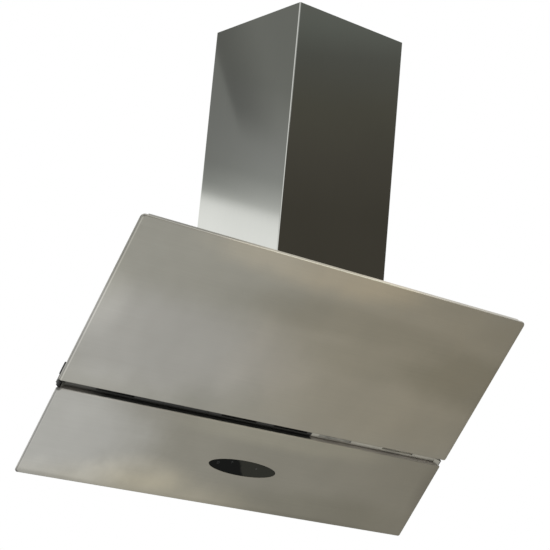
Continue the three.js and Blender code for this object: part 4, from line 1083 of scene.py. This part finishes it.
@dataclass
class FrontPanels:
    """The two tilted steel panels, the flange behind the slot and what closes the slot's ends."""

    finishes: Finishes
    upper: Tray = Tray(450.0, 0.0, 322.8, 8.0, 4.0)
    lower: Tray = Tray(446.0, 336.2, 508.0, 4.0, 4.0)
    window: tuple[float, float] = (77.3, 16.1)
    fold_half: float = 434.0
    flange_half: float = 442.0
    flange_foot: float = 334.6
    flange_reach: float = 19.4
    tab_x: tuple[float, float] = (430.5, 440.6)
    tab_w: tuple[float, float] = (-9.4, -8.6)
    tab_root: float = 430.0
    tab_head: float = 326.4
    tab_lean: float = 0.62
    pad_x: tuple[float, float] = (441.2, 445.4)
    pad_w: tuple[float, float] = (-10.5, -4.4)
    pad_head: float = 326.2
    hinge_screws: tuple[float, ...] = (-212.0, -188.0, 188.0, 212.0)
    hinge_screw_s: float = 46.0
    hinge_screw_w: float = -21.4

    def ellipse(self, grow: float, depth: float) -> Ring:
        """A ring of the window's cut-out.

        Args:
            grow: added to both half axes.
            depth: how far it lies behind the front face.

        Returns:
            The ring's points.
        """
        a, b = self.window
        x, s = WINDOW_MIDDLE
        return [
            on_slope(x + (a + grow) * math.cos(t), s + (b + grow) * math.sin(t), -depth)
            for t in full_turn(WINDOW_POINTS)
        ]

    def build(self) -> None:
        """Makes both panels, the flange and the slot's ends."""
        upper = Piece("upper_panel_skin", Body.PANEL, Slot.PANEL_STEEL)
        loft(upper.mesh, self.upper.rings())
        half, end = self.fold_half, self.upper.bottom
        block(upper.mesh, on_slope, (-half, half, 0.05, 1.25, -10, -3.5), 0.3, 0.2)
        block(upper.mesh, on_slope, (-half, half, end - 1.25, end - 0.05, -6, -3.5), 0.3, 0.2)
        upper.done(self.finishes.upper, ["upper_panel"])

        lower = Piece("lower_panel_skin", Body.HOOD, Slot.PANEL_STEEL)
        made = loft(lower.mesh, self.lower.rings(), (False, False))
        edge = ((1.5, 0.0), (0.35, 0.0), (0.1, 0.1), (0.0, 0.35), (0.0, self.lower.sheet))
        rim = loft(lower.mesh, [self.ellipse(grow, depth) for grow, depth in edge], (False, False))
        fill_between(lower.mesh, made[0], rim[0])
        fill_between(lower.mesh, made[-1], rim[-1])
        lower.done(self.finishes.lower, ["lower_panel"])
        self.build_air_flange()
        self.build_slot_ends()

    def build_air_flange(self) -> None:
        """Makes the lower panel's flange, which leads air into the slot."""
        flange = Piece("air_flange", Body.HOOD, Slot.PANEL_STEEL)
        reach = self.flange_reach
        lean = (self.lower.top - self.flange_foot) / reach

        def place(x: float, rise: float, w: float) -> Vector:
            """Leans the flange from the panel's top edge to its own foot."""
            return on_slope(x, self.lower.top + rise + w * lean, w)

        block(flange.mesh, place, (-self.flange_half, self.flange_half, 0.0, 1.2, -reach, -1.6), 0.3, 0.2)
        # The flange takes the slot's painted shade band, with a painted reflection at its left end.
        flange.done(self.finishes.flange)

    def build_slot_ends(self) -> None:
        """Makes the leaning tabs that close the slot's ends, each with a black pad beside it."""
        foot = self.lower.top + 0.5
        for side, sign in SIDES:
            def lean(x: float, s: float, w: float) -> Vector:
                """Leans the tab out towards the hood's side."""
                return on_slope(sign * x, s, w + (x - self.tab_root) * self.tab_lean)

            tab = Piece(f"slot_end_tab_{side}", Body.HOOD, Slot.PANEL_STEEL)
            block(tab.mesh, lean, (*self.tab_x, self.tab_head, foot, *self.tab_w), 0.5, 0.2)
            # The left tab takes the dark slot material as painted shade; the right one takes the lower
            # panel's steel.
            tab.done(self.finishes.rail if sign < 0 else self.finishes.lower)
            pad = Piece(f"slot_end_pad_{side}", Body.HOOD, Slot.BLACK_PLASTIC)

            def aside(x: float, s: float, w: float) -> Vector:
                """Places the pad on this side of the hood."""
                return on_slope(sign * x, s, w)

            block(pad.mesh, aside, (*self.pad_x, self.pad_head, foot, *self.pad_w), 1.2, 0.5)
            pad.done(self.finishes.black)

    def build_hinge_screws(self) -> None:
        """Makes the screws that hold the hinge brackets on the body."""
        for number, x in enumerate(self.hinge_screws, 1):
            made = Piece(f"hinge_bolt_{number}", Body.HOOD, Slot.ZINC_PLATE)
            add_screw(made.mesh, shifted(on_slope, x, self.hinge_screw_s, self.hinge_screw_w))
            made.done(self.finishes.zinc, [f"hinge_screw_{number}"])

    def dress(self) -> None:
        """Makes the hinges' screws and dresses what the panels hang on."""
        self.build_hinge_screws()
        for side, _ in SIDES:
            dress(f"panel_strike_{side}", self.finishes.zinc)
            dress(f"panel_catch_{side}", self.finishes.black, 0.8)
            for part in ("bracket", "pin", "leaf"):
                dress(f"hinge_{part}_{side}", self.finishes.zinc)
            dress(f"lower_bracket_{side}", self.finishes.galvanised)
            dress(f"rail_bracket_{side}", self.finishes.galvanised)


@dataclass
class ControlPanel:
    """The oval touch window, its printed marks and what lies behind it."""

    finishes: Finishes
    half: tuple[float, float] = (77.0, 15.8)
    marks: tuple[tuple[float, float, str], ...] = ((-58, -3, "ring"), (-29, -9, "cross"), (30, -4, "dot"))

    def oval(self, inset: float) -> list:
        """Gives the glass's outline, drawn in.

        Args:
            inset: how far.

        Returns:
            Pairs of x and s.
        """
        a, b = (half - inset for half in self.half)
        x, s = WINDOW_MIDDLE
        return [(x + a * math.cos(t), s + b * math.sin(t)) for t in full_turn(WINDOW_POINTS)]

    def build(self) -> None:
        """Makes the glass and its marks."""
        glass = Piece("touch_glass", Body.HOOD, Slot.DARK_GLASS)
        slab(glass.mesh, self.oval, on_slope, -3.4, -0.12, 0.3, 3)
        slab(glass.mesh, lambda inset: self.oval(inset - 3.0), on_slope, -3.45, -1.55, 0.2)
        glass.done(self.finishes.glass, ["control_window"])
        marks = Piece("touch_marks", Body.HOOD, Slot.DARK_GLASS)
        x, s = WINDOW_MIDDLE
        for right, down, kind in self.marks:
            self.mark(marks.mesh, shifted(on_slope, x + right, s + down, 0.0), kind)
        marks.done(self.finishes.print)

    def mark(self, bm: bmesh.types.BMesh, place: Place, kind: str) -> None:
        """Adds one plain touch mark.

        Args:
            bm: the mesh that takes it.
            place: turns coordinates about the mark's middle into a point.
            kind: ring, cross or dot.
        """
        low, high = -0.12, -0.07
        if kind == "cross":
            block(bm, place, (-2.4, 2.4, -0.3, 0.3, low, high), 0.1, 0.02)
            block(bm, place, (-0.3, 0.3, -2.4, 2.4, low, high), 0.1, 0.02)
        if kind == "dot":
            slab(bm, lambda inset: arc(0, 0, 1.8 - inset, 0, 345, 23), place, low, high, 0.02)
        if kind == "ring":
            profile = ((2.6, high), (2.0, high), (2.3, low))
            loft(bm, [[place(a, b, w) for a, b in arc(0, 0, radius, 0, 345, 23)] for radius, w in profile],
                 closed=True)

    def dress(self) -> None:
        """Dresses the board and its housing."""
        dress("touch_board", self.finishes.board, 0.1)
        dress("control_housing", self.finishes.black, 0.5)


@dataclass
class SlotRail:
    """The dark rail at the back of the slot, with its lamps."""

    finishes: Finishes
    hole_middles: tuple[float, float] = (-330.0, 330.0)
    hole_half: float = 40.0
    overlap: float = 4.0
    long_wires: int = 7
    long_start: float = 322.6
    long_pitch: float = 1.3
    short_wires: int = 23
    short_ends: tuple[float, float] = (321.8, 332.2)
    short_pitch: float = 4.0

    def build(self) -> None:
        """Makes the wire screens behind the rail's outer air holes."""
        screens = Piece("rail_screens", Body.HOOD, Slot.GALVANISED)
        for middle in self.hole_middles:
            reach = self.hole_half + self.overlap
            x0, x1 = middle - reach, middle + reach
            for i in range(self.long_wires):
                s = self.long_start + self.long_pitch * i
                block(screens.mesh, on_slope, (x0, x1, s, s + 0.9, -16.9, -16.2), 0.3, 0.15)
            for i in range(self.short_wires):
                x = x0 + self.short_pitch * i - 0.4
                block(screens.mesh, on_slope, (x, x + 0.8, *self.short_ends, -17.5, -16.8), 0.3, 0.15)
        # The screens take the rail's painted shade band.
        screens.done(self.finishes.rail)

    def dress(self) -> None:
        """Dresses the rail and the lamps."""
        # The rail takes the painted shade band, with a painted reflection at its left end and lighter steel
        # past its right end.
        dress("slot_rail", self.finishes.rail, 0.5)
        for side, _ in SIDES:
            dress(f"lamp_lens_{side}", self.finishes.frosted, 0.4)
            dress(f"lamp_body_{side}", self.finishes.black, 0.5)


@dataclass(frozen=True)
class Sleeve:
    """A three-sided duct cover, seen from above as a section in x and y."""

    half: float
    front: float
    back: float
    lip: float
    sheet: float = 1.2
    bend: float = 2.5

    def section(self) -> list:
        """The section's outline.

        Returns:
            Pairs of x and y.
        """
        def side(sign: int, offset: float) -> list:
            """Gives half of the outer or inner line.

            Args:
                sign: 1 or -1, which side.
                offset: how far inside the outer face.

            Returns:
                Pairs of x and y, from the front's middle to the lip's end.
            """
            half, front, back = self.half - offset, self.front + offset, self.back - offset
            radius = self.bend - offset
            steps = 8
            corner = arc(self.half - self.bend, self.front + self.bend, radius, -90, 0, steps)
            corner = [(self.half - self.bend - 1, front)] + corner + [(half, self.front + self.bend + 1)]
            rear = [(half, self.back - 3)] + arc(self.half - 2, self.back - 2, 2 - offset, 0, 90, 5)
            lip = [(self.half - 3, back), (self.half - self.lip, back)]
            return [(sign * x, y) for x, y in corner + rear + lip]

        outer = list(reversed(side(-1, 0.0))) + side(1, 0.0)
        inner = list(reversed(side(1, self.sheet))) + side(-1, self.sheet)
        return outer + inner

    def skin(self, bm: bmesh.types.BMesh, low: float, high: float) -> None:
        """Adds the cover from one height to another.

        Args:
            bm: the mesh that takes it.
            low: lower edge's height.
            high: upper edge's height.
        """
        section = self.section()
        loft(bm, [[upright(x, y, z) for x, y in section] for z in (low, high)])


@dataclass
class DuctCover:
    """The square chimney: a fixed cover and one that slides up inside it."""

    finishes: Finishes
    outer: Sleeve = Sleeve(127.0, -257.43, -9.43, 14.0)
    foot: float = 175.0
    head: float = 669.0
    screw_x: float = 120.5
    screw_levels: tuple[float, ...] = (200.0, 420.0, 640.0)

    def build(self) -> None:
        """Makes the outer cover and the screws in its back lips."""
        outer = Piece("duct_cover_skin", Body.HOOD, Slot.COVER_STEEL)
        self.outer.skin(outer.mesh, self.foot, self.head)
        outer.done(self.finishes.cover, ["duct_cover_lower"], bevel=0.25)
        for side, sign in SIDES:
            screws = Piece(f"cover_screws_{side}", Body.HOOD, Slot.ZINC_PLATE)
            for level in self.screw_levels:
                def place(a: float, b: float, height: float) -> Vector:
                    """Sets a screw in the back lip, its head towards the wall."""
                    return upright(sign * self.screw_x + a, self.outer.back + height, level + b)

                add_screw(screws.mesh, place, 1.0)
            screws.done(self.finishes.zinc)

    def dress(self) -> None:
        """Dresses the inner cover and the brackets."""
        dress("duct_cover_upper", self.finishes.cover, 0.2)
        dress("cover_bracket_lower", self.finishes.zinc)
        dress("cover_bracket_upper", self.finishes.zinc)


@dataclass
class BodyShell:
    """The wedge-shaped body on the wall, with the wiring in it."""

    finishes: Finishes
    half: float = 250.0
    front_seam: tuple[float, ...] = (24.0, 104.0, 184.0, 264.0, 344.0, 424.0)
    front_seam_w: float = -34.0
    top_seam: tuple[float, ...] = (-236.0, -164.0, -92.0, -20.0)
    top_seam_level: float = 165.0

    def build(self) -> None:
        """Makes the rivets along the shell's side seams."""
        for side, sign in SIDES:
            rivets = Piece(f"seam_rivets_{side}", Body.HOOD, Slot.ZINC_PLATE)
            for s in self.front_seam:
                def on_front(a: float, b: float, height: float) -> Vector:
                    """Sets a rivet on the shell's side, along its sloping front."""
                    return on_slope(sign * (self.half + height), s + a, b + self.front_seam_w)

                add_rivet(rivets.mesh, on_front)
            for y in self.top_seam:
                def on_top(a: float, b: float, height: float) -> Vector:
                    """Sets a rivet on the shell's side, along its top."""
                    return upright(sign * (self.half + height), y + a, self.top_seam_level + b)

                add_rivet(rivets.mesh, on_top)
            rivets.done(self.finishes.zinc)

    def dress(self) -> None:
        """Dresses the shell, its hanger plates and the wiring."""
        dress("body_shell", self.finishes.galvanised, 0.6)
        for side, _ in SIDES:
            dress(f"hanger_plate_{side}", self.finishes.zinc)
        dress("terminal_box", self.finishes.grey, 0.8)
        dress("capacitor", self.finishes.aluminium, 0.8)
        dress("filter_seat", self.finishes.galvanised)


@dataclass
class Filters:
    """The two grease filters and their latches."""

    finishes: Finishes
    middle: float = 116.0
    half: float = 115.0
    ends: tuple[float, float] = (60.0, 296.0)
    front: float = -26.1
    edge: float = 12.0
    diamond: tuple[float, float] = (9.0, 4.5)
    shortest: float = 1.5
    rivet_x: tuple[float, ...] = (-109.0, 109.0)
    rivet_s: tuple[float, ...] = (66.0, 178.0, 286.0)
    ribs: int = 9
    rib_pitch: float = 4.0

    def build(self) -> None:
        """Makes the wire faces, the frames' rivets and the latches' grips."""
        for side, sign in SIDES:
            face = Piece(f"filter_face_{side}", Body.HOOD, Slot.ALUMINIUM)
            self.add_strands(face.mesh, sign * self.middle, 1, 0.0)
            self.add_strands(face.mesh, sign * self.middle, -1, 0.12)
            for x in self.rivet_x:
                for s in self.rivet_s:
                    place = shifted(on_slope, sign * self.middle + x, s, self.front)
                    add_rivet(face.mesh, place, 2.0, 0.7)
            face.done(self.finishes.aluminium)
            grip = Piece(f"latch_grip_{side}", Body[f"LATCH_{side.upper()}"], Slot.BLACK_PLASTIC)
            for i in range(self.ribs):
                x = sign * self.middle + self.rib_pitch * (i - self.ribs // 2)
                block(grip.mesh, on_slope, (x - 0.7, x + 0.7, 46.4, 50.6, -17.0, -16.1), 0.3, 0.25)
            grip.done(self.finishes.black)

    def add_strands(self, bm: bmesh.types.BMesh, middle: float, slant: int, sink: float) -> None:
        """Adds one family of slanting strands of the expanded metal face.

        Args:
            bm: the mesh that takes them.
            middle: the filter's middle.
            slant: 1 or -1, which way they run.
            sink: how far they lie below the other family.
        """
        wide, long = self.diamond
        reach = self.half - self.edge + 0.4
        low, high = self.ends[0] + self.edge - 0.4, self.ends[1] - self.edge + 0.4
        slope = slant * long / wide
        steep = math.hypot(1.0, slope)
        first = math.ceil((low - abs(slope) * reach) / long)
        last = math.floor((high + abs(slope) * reach) / long)
        top, under = self.front - 0.15 - sink, self.front - 0.75 - sink
        for number in range(first, last + 1):
            start = number * long
            left, right = sorted(((low - start) / slope, (high - start) / slope))
            x0, x1 = max(-reach, left), min(reach, right)
            if x1 - x0 < self.shortest:
                continue
            corners = ((-0.35, under), (0.35, under), (0.35, top), (-0.35, top))
            loft(bm, [
                [on_slope(middle + x, start + slope * x + off * steep, w) for off, w in corners]
                for x in (x0, x1)
            ])

    def dress(self) -> None:
        """Dresses the filters and latches."""
        for side, _ in SIDES:
            dress(f"filter_frame_{side}", self.finishes.aluminium, 0.5)
            dress(f"filter_mesh_{side}", self.finishes.wire, 0.2)
            dress(f"filter_latch_{side}", self.finishes.black, 0.5)


@dataclass
class Fan:
    """The fan box, its wheel, motor, outlet and flaps."""

    finishes: Finishes
    outlet_y: float = -102.0
    outlet_radius: float = 75.0
    bead_levels: tuple[float, ...] = (424.0, 438.0)
    bead_radius: float = 1.3
    box_screws: tuple[float, ...] = (-116.0, 116.0)
    box_screw_y: float = -134.0
    box_screw_level: float = 176.5

    def build(self) -> None:
        """Makes the outlet collar's beads and the fan box's screws."""
        beads = Piece("collar_beads", Body.HOOD, Slot.GREY_PLASTIC)
        for level in self.bead_levels:
            bead = arc(self.outlet_radius, level, self.bead_radius, 0, 324, 9)
            lathe(beads.mesh, bead, shifted(upright, 0.0, self.outlet_y, 0.0), 64)
        beads.done(self.finishes.grey)
        for number, x in enumerate(self.box_screws, 1):
            made = Piece(f"fan_box_bolt_{number}", Body.HOOD, Slot.ZINC_PLATE)
            add_screw(made.mesh, shifted(upright, x, self.box_screw_y, self.box_screw_level))
            made.done(self.finishes.zinc, [f"fan_box_screw_{number}"])

    def dress(self) -> None:
        """Dresses the fan."""
        dress("fan_box", self.finishes.galvanised, 0.5)
        dress("wheel_disc", self.finishes.black)
        for side, _ in SIDES:
            dress(f"scroll_housing_{side}", self.finishes.grey, 0.5)
            dress(f"wheel_cage_{side}", self.finishes.black, 0.15)
        dress("motor", self.finishes.zinc, 1.0)
        dress("outlet_collar", self.finishes.grey)
        for name in ("motor_shaft", "motor_yoke", "flap_pin"):
            dress(name, self.finishes.zinc)
        for name in ("backdraft_flap_front", "backdraft_flap_back"):
            dress(name, self.finishes.black)
        dress("cable_gland", self.finishes.black, 0.5)


# ---- studio -----------------------------------------------------------------------------------
@dataclass(frozen=True)
class Lamp:
    """A soft square lamp."""

    name: str
    place: tuple[float, float, float]
    target: tuple[float, float, float]
    size: float
    power: float

    def build(self) -> None:
        """Makes the lamp."""
        data = bpy.data.lights.new(self.name, "AREA")
        data.shape = "SQUARE"
        data.size = self.size
        data.energy = self.power
        lamp = bpy.data.objects.new(self.name, data)
        bpy.context.scene.collection.objects.link(lamp)
        lamp.location = self.place
        aim = Vector(self.target) - Vector(self.place)
        lamp.rotation_mode = "QUATERNION"
        lamp.rotation_quaternion = aim.to_track_quat("-Z", "Y")


# What gloss sees: on the wall behind the object, by its rise, and in the room and at its side, by height.
BACKDROP_NEAR = (
    (0.3186, (1.0, 1.01, 0.99)),
    (0.3316, (0.95, 0.96, 0.94)),
    (0.3391, (0.84, 0.85, 0.83)),
    (0.3421, (0.66, 0.67, 0.65)),
    (0.3456, (0.55, 0.56, 0.54)),
    (0.3536, (0.45, 0.46, 0.44)),
    (0.3666, (0.32, 0.33, 0.315)),
    (0.3836, (0.285, 0.29, 0.28)),
    (0.4136, (0.245, 0.25, 0.235)),
    (0.4386, (0.195, 0.2, 0.185)),
    (0.5936, (0.18, 0.185, 0.17)),
    (0.8936, (0.55, 0.55, 0.55)),
)
BACKDROP_FAR = (
    (0.3186, (1.02, 1.03, 1.01)),
    (0.3316, (0.95, 0.96, 0.94)),
    (0.3381, (0.82, 0.83, 0.81)),
    (0.3411, (0.5, 0.51, 0.49)),
    (0.3446, (0.37, 0.38, 0.36)),
    (0.3516, (0.27, 0.28, 0.265)),
    (0.3656, (0.212, 0.217, 0.207)),
    (0.3886, (0.212, 0.217, 0.207)),
    (0.4186, (0.208, 0.213, 0.203)),
    (0.4536, (0.2, 0.205, 0.19)),
    (0.5936, (0.17, 0.175, 0.165)),
    (0.8936, (0.55, 0.55, 0.55)),
)
ROOM = (
    (0.0, (0.6, 0.59, 0.56)),
    (0.17, (0.5, 0.49, 0.46)),
    (0.2105, (0.06, 0.054, 0.043)),
    (0.2625, (0.063, 0.058, 0.046)),
    (0.2925, (0.074, 0.069, 0.056)),
    (0.3205, (0.088, 0.085, 0.068)),
    (0.3475, (0.1, 0.102, 0.09)),
    (0.3625, (0.13, 0.138, 0.123)),
    (0.3855, (0.16, 0.165, 0.15)),
    (0.4255, (0.4, 0.4, 0.39)),
    (0.5, (0.9, 0.9, 0.89)),
    (1.0, (1.0, 1.0, 1.0)),
)
SIDE = (
    (0.0, (0.8, 0.8, 0.78)),
    (0.5, (0.95, 0.95, 0.93)),
    (1.0, (0.6, 0.6, 0.6)),
)


@dataclass
class Studio:
    """Floor, lamps, surroundings and camera.

    The glow is the lit patch of floor that gloss sees: its x, y and strength. The backdrop's limits are
    slopes of the direction in which gloss looks.
    """

    ambient: float = 0.7
    floor_level: float = -2.0
    floor_size: float = 9.0
    floor_lift: float = 0.2
    floor_tone: float = 0.81
    floor_dark: Color = (0.78, 0.79, 0.78)
    floor_pale: Color = (0.84, 0.85, 0.84)
    floor_warm: Color = (0.8, 0.75, 0.64)
    glow: tuple[float, float, float] = (-0.9, -2.2, 0.75)
    glow_fall: float = 0.0494
    glow_base: float = 0.25
    wall_turn: tuple[float, float] = (0.695, 0.8)
    streak_lean: float = 1.91
    streak_crisp: tuple[float, float] = (1.8094, 1.8134)
    streak_soft: tuple[float, float] = (1.815, 1.925)
    streak_foot: tuple[float, float] = (0.3856, 0.4186)
    camera_turn: tuple[float, float, float] = (38.198, 13.094, -5.287)
    camera_place: tuple[float, float, float] = (-1.95952, -2.58557, -0.52814)
    focal_pixels: float = 1751.04
    picture_pixels: float = 550.0
    sensor: float = 36.0
    lamps: tuple[Lamp, ...] = (
        Lamp("key", (-0.9, -2.2, 2.5), (0.0, -0.2, 0.0), 3.0, 9.0),
        Lamp("fill", (2.4, 1.8, 2.2), (0.0, 0.0, 0.1), 2.4, 8.0),
    )

    def build(self) -> None:
        """Sets up everything round the object."""
        self.build_floor()
        for lamp in self.lamps:
            lamp.build()
        self.build_surroundings()
        self.build_camera()
        bpy.context.scene.view_settings.view_transform = "Standard"

    def build_floor(self) -> None:
        """Makes the pale floor."""
        bm = bmesh.new()
        bmesh.ops.create_grid(bm, x_segments=24, y_segments=24, size=self.floor_size)
        data = bpy.data.meshes.new("floor")
        bm.to_mesh(data)
        bm.free()
        floor = bpy.data.objects.new("floor", data)
        floor.location = (0.0, 0.0, self.floor_level)
        bpy.context.scene.collection.objects.link(floor)
        shader = Shader("pale_floor")
        cloud = shader.noise(0.7, 3.0)
        color = shader.blend(shader.spread(cloud, 0.0, 1.0), self.floor_dark, self.floor_pale)
        shader.base(Base_Color=color, Roughness=0.85)
        rays = shader.add("ShaderNodeLightPath")
        seen = shader.calculate("MULTIPLY", rays.outputs["Is Camera Ray"], self.floor_lift)
        shader.base(Emission_Color=(1.0, 1.0, 1.0, 1.0), Emission_Strength=seen)
        self.finish_floor(shader, rays, color)
        data.materials.append(shader.material)
        floor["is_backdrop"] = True

    def finish_floor(self, shader: Shader, rays: bpy.types.Node, color: bpy.types.NodeSocket) -> None:
        """Gives gloss a softly lit floor, and clears the floor from below so it blocks no low view.

        Args:
            shader: the floor's material.
            rays: its Light Path node.
            color: the floor's colour.
        """
        x, y, _ = shader.axes()
        color = shader.blend(shader.spread(x, 0.0, 1.0, 0.9, 3.2), color, self.floor_warm)
        middle_x, middle_y, strength = self.glow
        off_x = shader.calculate("POWER", shader.calculate("SUBTRACT", x, middle_x), 2.0)
        off_y = shader.calculate("POWER", shader.calculate("SUBTRACT", y, middle_y), 2.0)
        spread = shader.calculate("ADD", off_x, off_y)
        fall = shader.calculate("DIVIDE", 1.0, shader.calculate("MULTIPLY_ADD", spread, self.glow_fall, 1.0))
        fall = shader.calculate("POWER", fall, 2.0)
        strength = shader.calculate("MULTIPLY_ADD", fall, strength / self.floor_tone, self.glow_base)
        lit = shader.add("ShaderNodeEmission")
        shader.feed(lit, "Color", color)
        shader.feed(lit, "Strength", strength)
        gloss = shader.mix(rays.outputs["Is Glossy Ray"], shader.principled, lit)
        backfacing = shader.add("ShaderNodeNewGeometry").outputs["Backfacing"]
        clear = shader.mix(backfacing, gloss, shader.add("ShaderNodeBsdfTransparent"))
        shader.tree.links.new(clear.outputs[0], shader.output.inputs["Surface"])

    def build_surroundings(self) -> None:
        """Makes the world: white to the camera, a white backdrop and a dim studio to gloss."""
        world = bpy.data.worlds.new("studio")
        bpy.context.scene.world = world
        world.use_nodes = True
        nodes = Nodes(world.node_tree, "Generated")
        x, y, z = nodes.axes()
        behind = self.backdrop(nodes, x, y, z)
        room = nodes.blend(nodes.spread(y, 0.0, 1.0, 0.05, 0.3), nodes.ramp(z, ROOM), behind)
        room = nodes.blend(nodes.spread(x, 1.0, 0.0, -0.85, -0.68), room, nodes.ramp(z, SIDE))
        rays = nodes.add("ShaderNodeLightPath")
        diffuse = nodes.blend(rays.outputs["Is Diffuse Ray"], room, (self.ambient,) * 3)
        seen = nodes.blend(rays.outputs["Is Camera Ray"], diffuse, (1.0, 1.0, 1.0))
        background = nodes.add("ShaderNodeBackground")
        nodes.feed(background, "Color", seen)
        output = nodes.add("ShaderNodeOutputWorld")
        nodes.feed(output, 0, background.outputs[0])

    def backdrop(
        self, nodes: Nodes, x: bpy.types.NodeSocket, y: bpy.types.NodeSocket, z: bpy.types.NodeSocket,
    ) -> bpy.types.NodeSocket:
        """What gloss sees behind the object: white low down, a grey studio wall above.

        A dim slanted streak crosses the wall, with one crisp edge.

        Args:
            nodes: the world's nodes.
            x: the direction's X.
            y: the direction's Y.
            z: the direction's Z.

        Returns:
            The colour.
        """
        rise = nodes.calculate("DIVIDE", z, y)
        across = nodes.calculate("DIVIDE", x, nodes.calculate("MULTIPLY", y, -1.0))
        near = nodes.spread(across, 0.0, 1.0, *self.wall_turn)
        wall = nodes.blend(near, nodes.ramp(rise, BACKDROP_FAR), nodes.ramp(rise, BACKDROP_NEAR))
        past = nodes.calculate("MULTIPLY_ADD", across, self.streak_lean, rise)
        crisp = nodes.spread(past, 0.0, 0.34, *self.streak_crisp)
        soft = nodes.spread(past, 1.0, 0.0, *self.streak_soft)
        streak = nodes.calculate("MULTIPLY", crisp, soft)
        streak = nodes.calculate("MULTIPLY", streak, nodes.spread(rise, 0.0, 1.0, *self.streak_foot))
        return nodes.blend(streak, wall, (0.0, 0.0, 0.0))

    def build_camera(self) -> None:
        """Makes the camera that stands where the photograph was taken."""
        yaw, pitch, roll = (math.radians(angle) for angle in self.camera_turn)
        level = math.cos(pitch)
        ahead = Vector((math.sin(yaw) * level, math.cos(yaw) * level, math.sin(pitch)))
        right = Vector((math.cos(yaw), -math.sin(yaw), 0.0))
        down = ahead.cross(right)
        across = math.cos(roll) * right + math.sin(roll) * down
        below = -math.sin(roll) * right + math.cos(roll) * down
        data = bpy.data.cameras.new("camera")
        data.sensor_width = self.sensor
        data.lens = self.focal_pixels / self.picture_pixels * self.sensor
        data.dof.use_dof = False
        data.clip_start = 0.05
        data.clip_end = 60.0
        camera = bpy.data.objects.new("camera", data)
        bpy.context.scene.collection.objects.link(camera)
        turn = Matrix((across, -below, -ahead)).transposed().to_4x4()
        camera.matrix_world = Matrix.Translation(self.camera_place) @ turn
        bpy.context.scene.camera = camera


def main() -> None:
    """Builds and dresses the hood, then its studio."""
    finishes = Finishes()
    assemblies = [
        FrontPanels(finishes),
        ControlPanel(finishes),
        SlotRail(finishes),
        DuctCover(finishes),
        BodyShell(finishes),
        Filters(finishes),
        Fan(finishes),
    ]
    for assembly in assemblies:
        assembly.build()
        assembly.dress()
    Studio().build()
    boxes = {"cad": CAD_BOX, "visual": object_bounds()}
    {name: [list(corner) for corner in box] for name, box in boxes.items()}
    LOG.info("boxes %s", boxes)


if __name__ == "__main__":
    main()
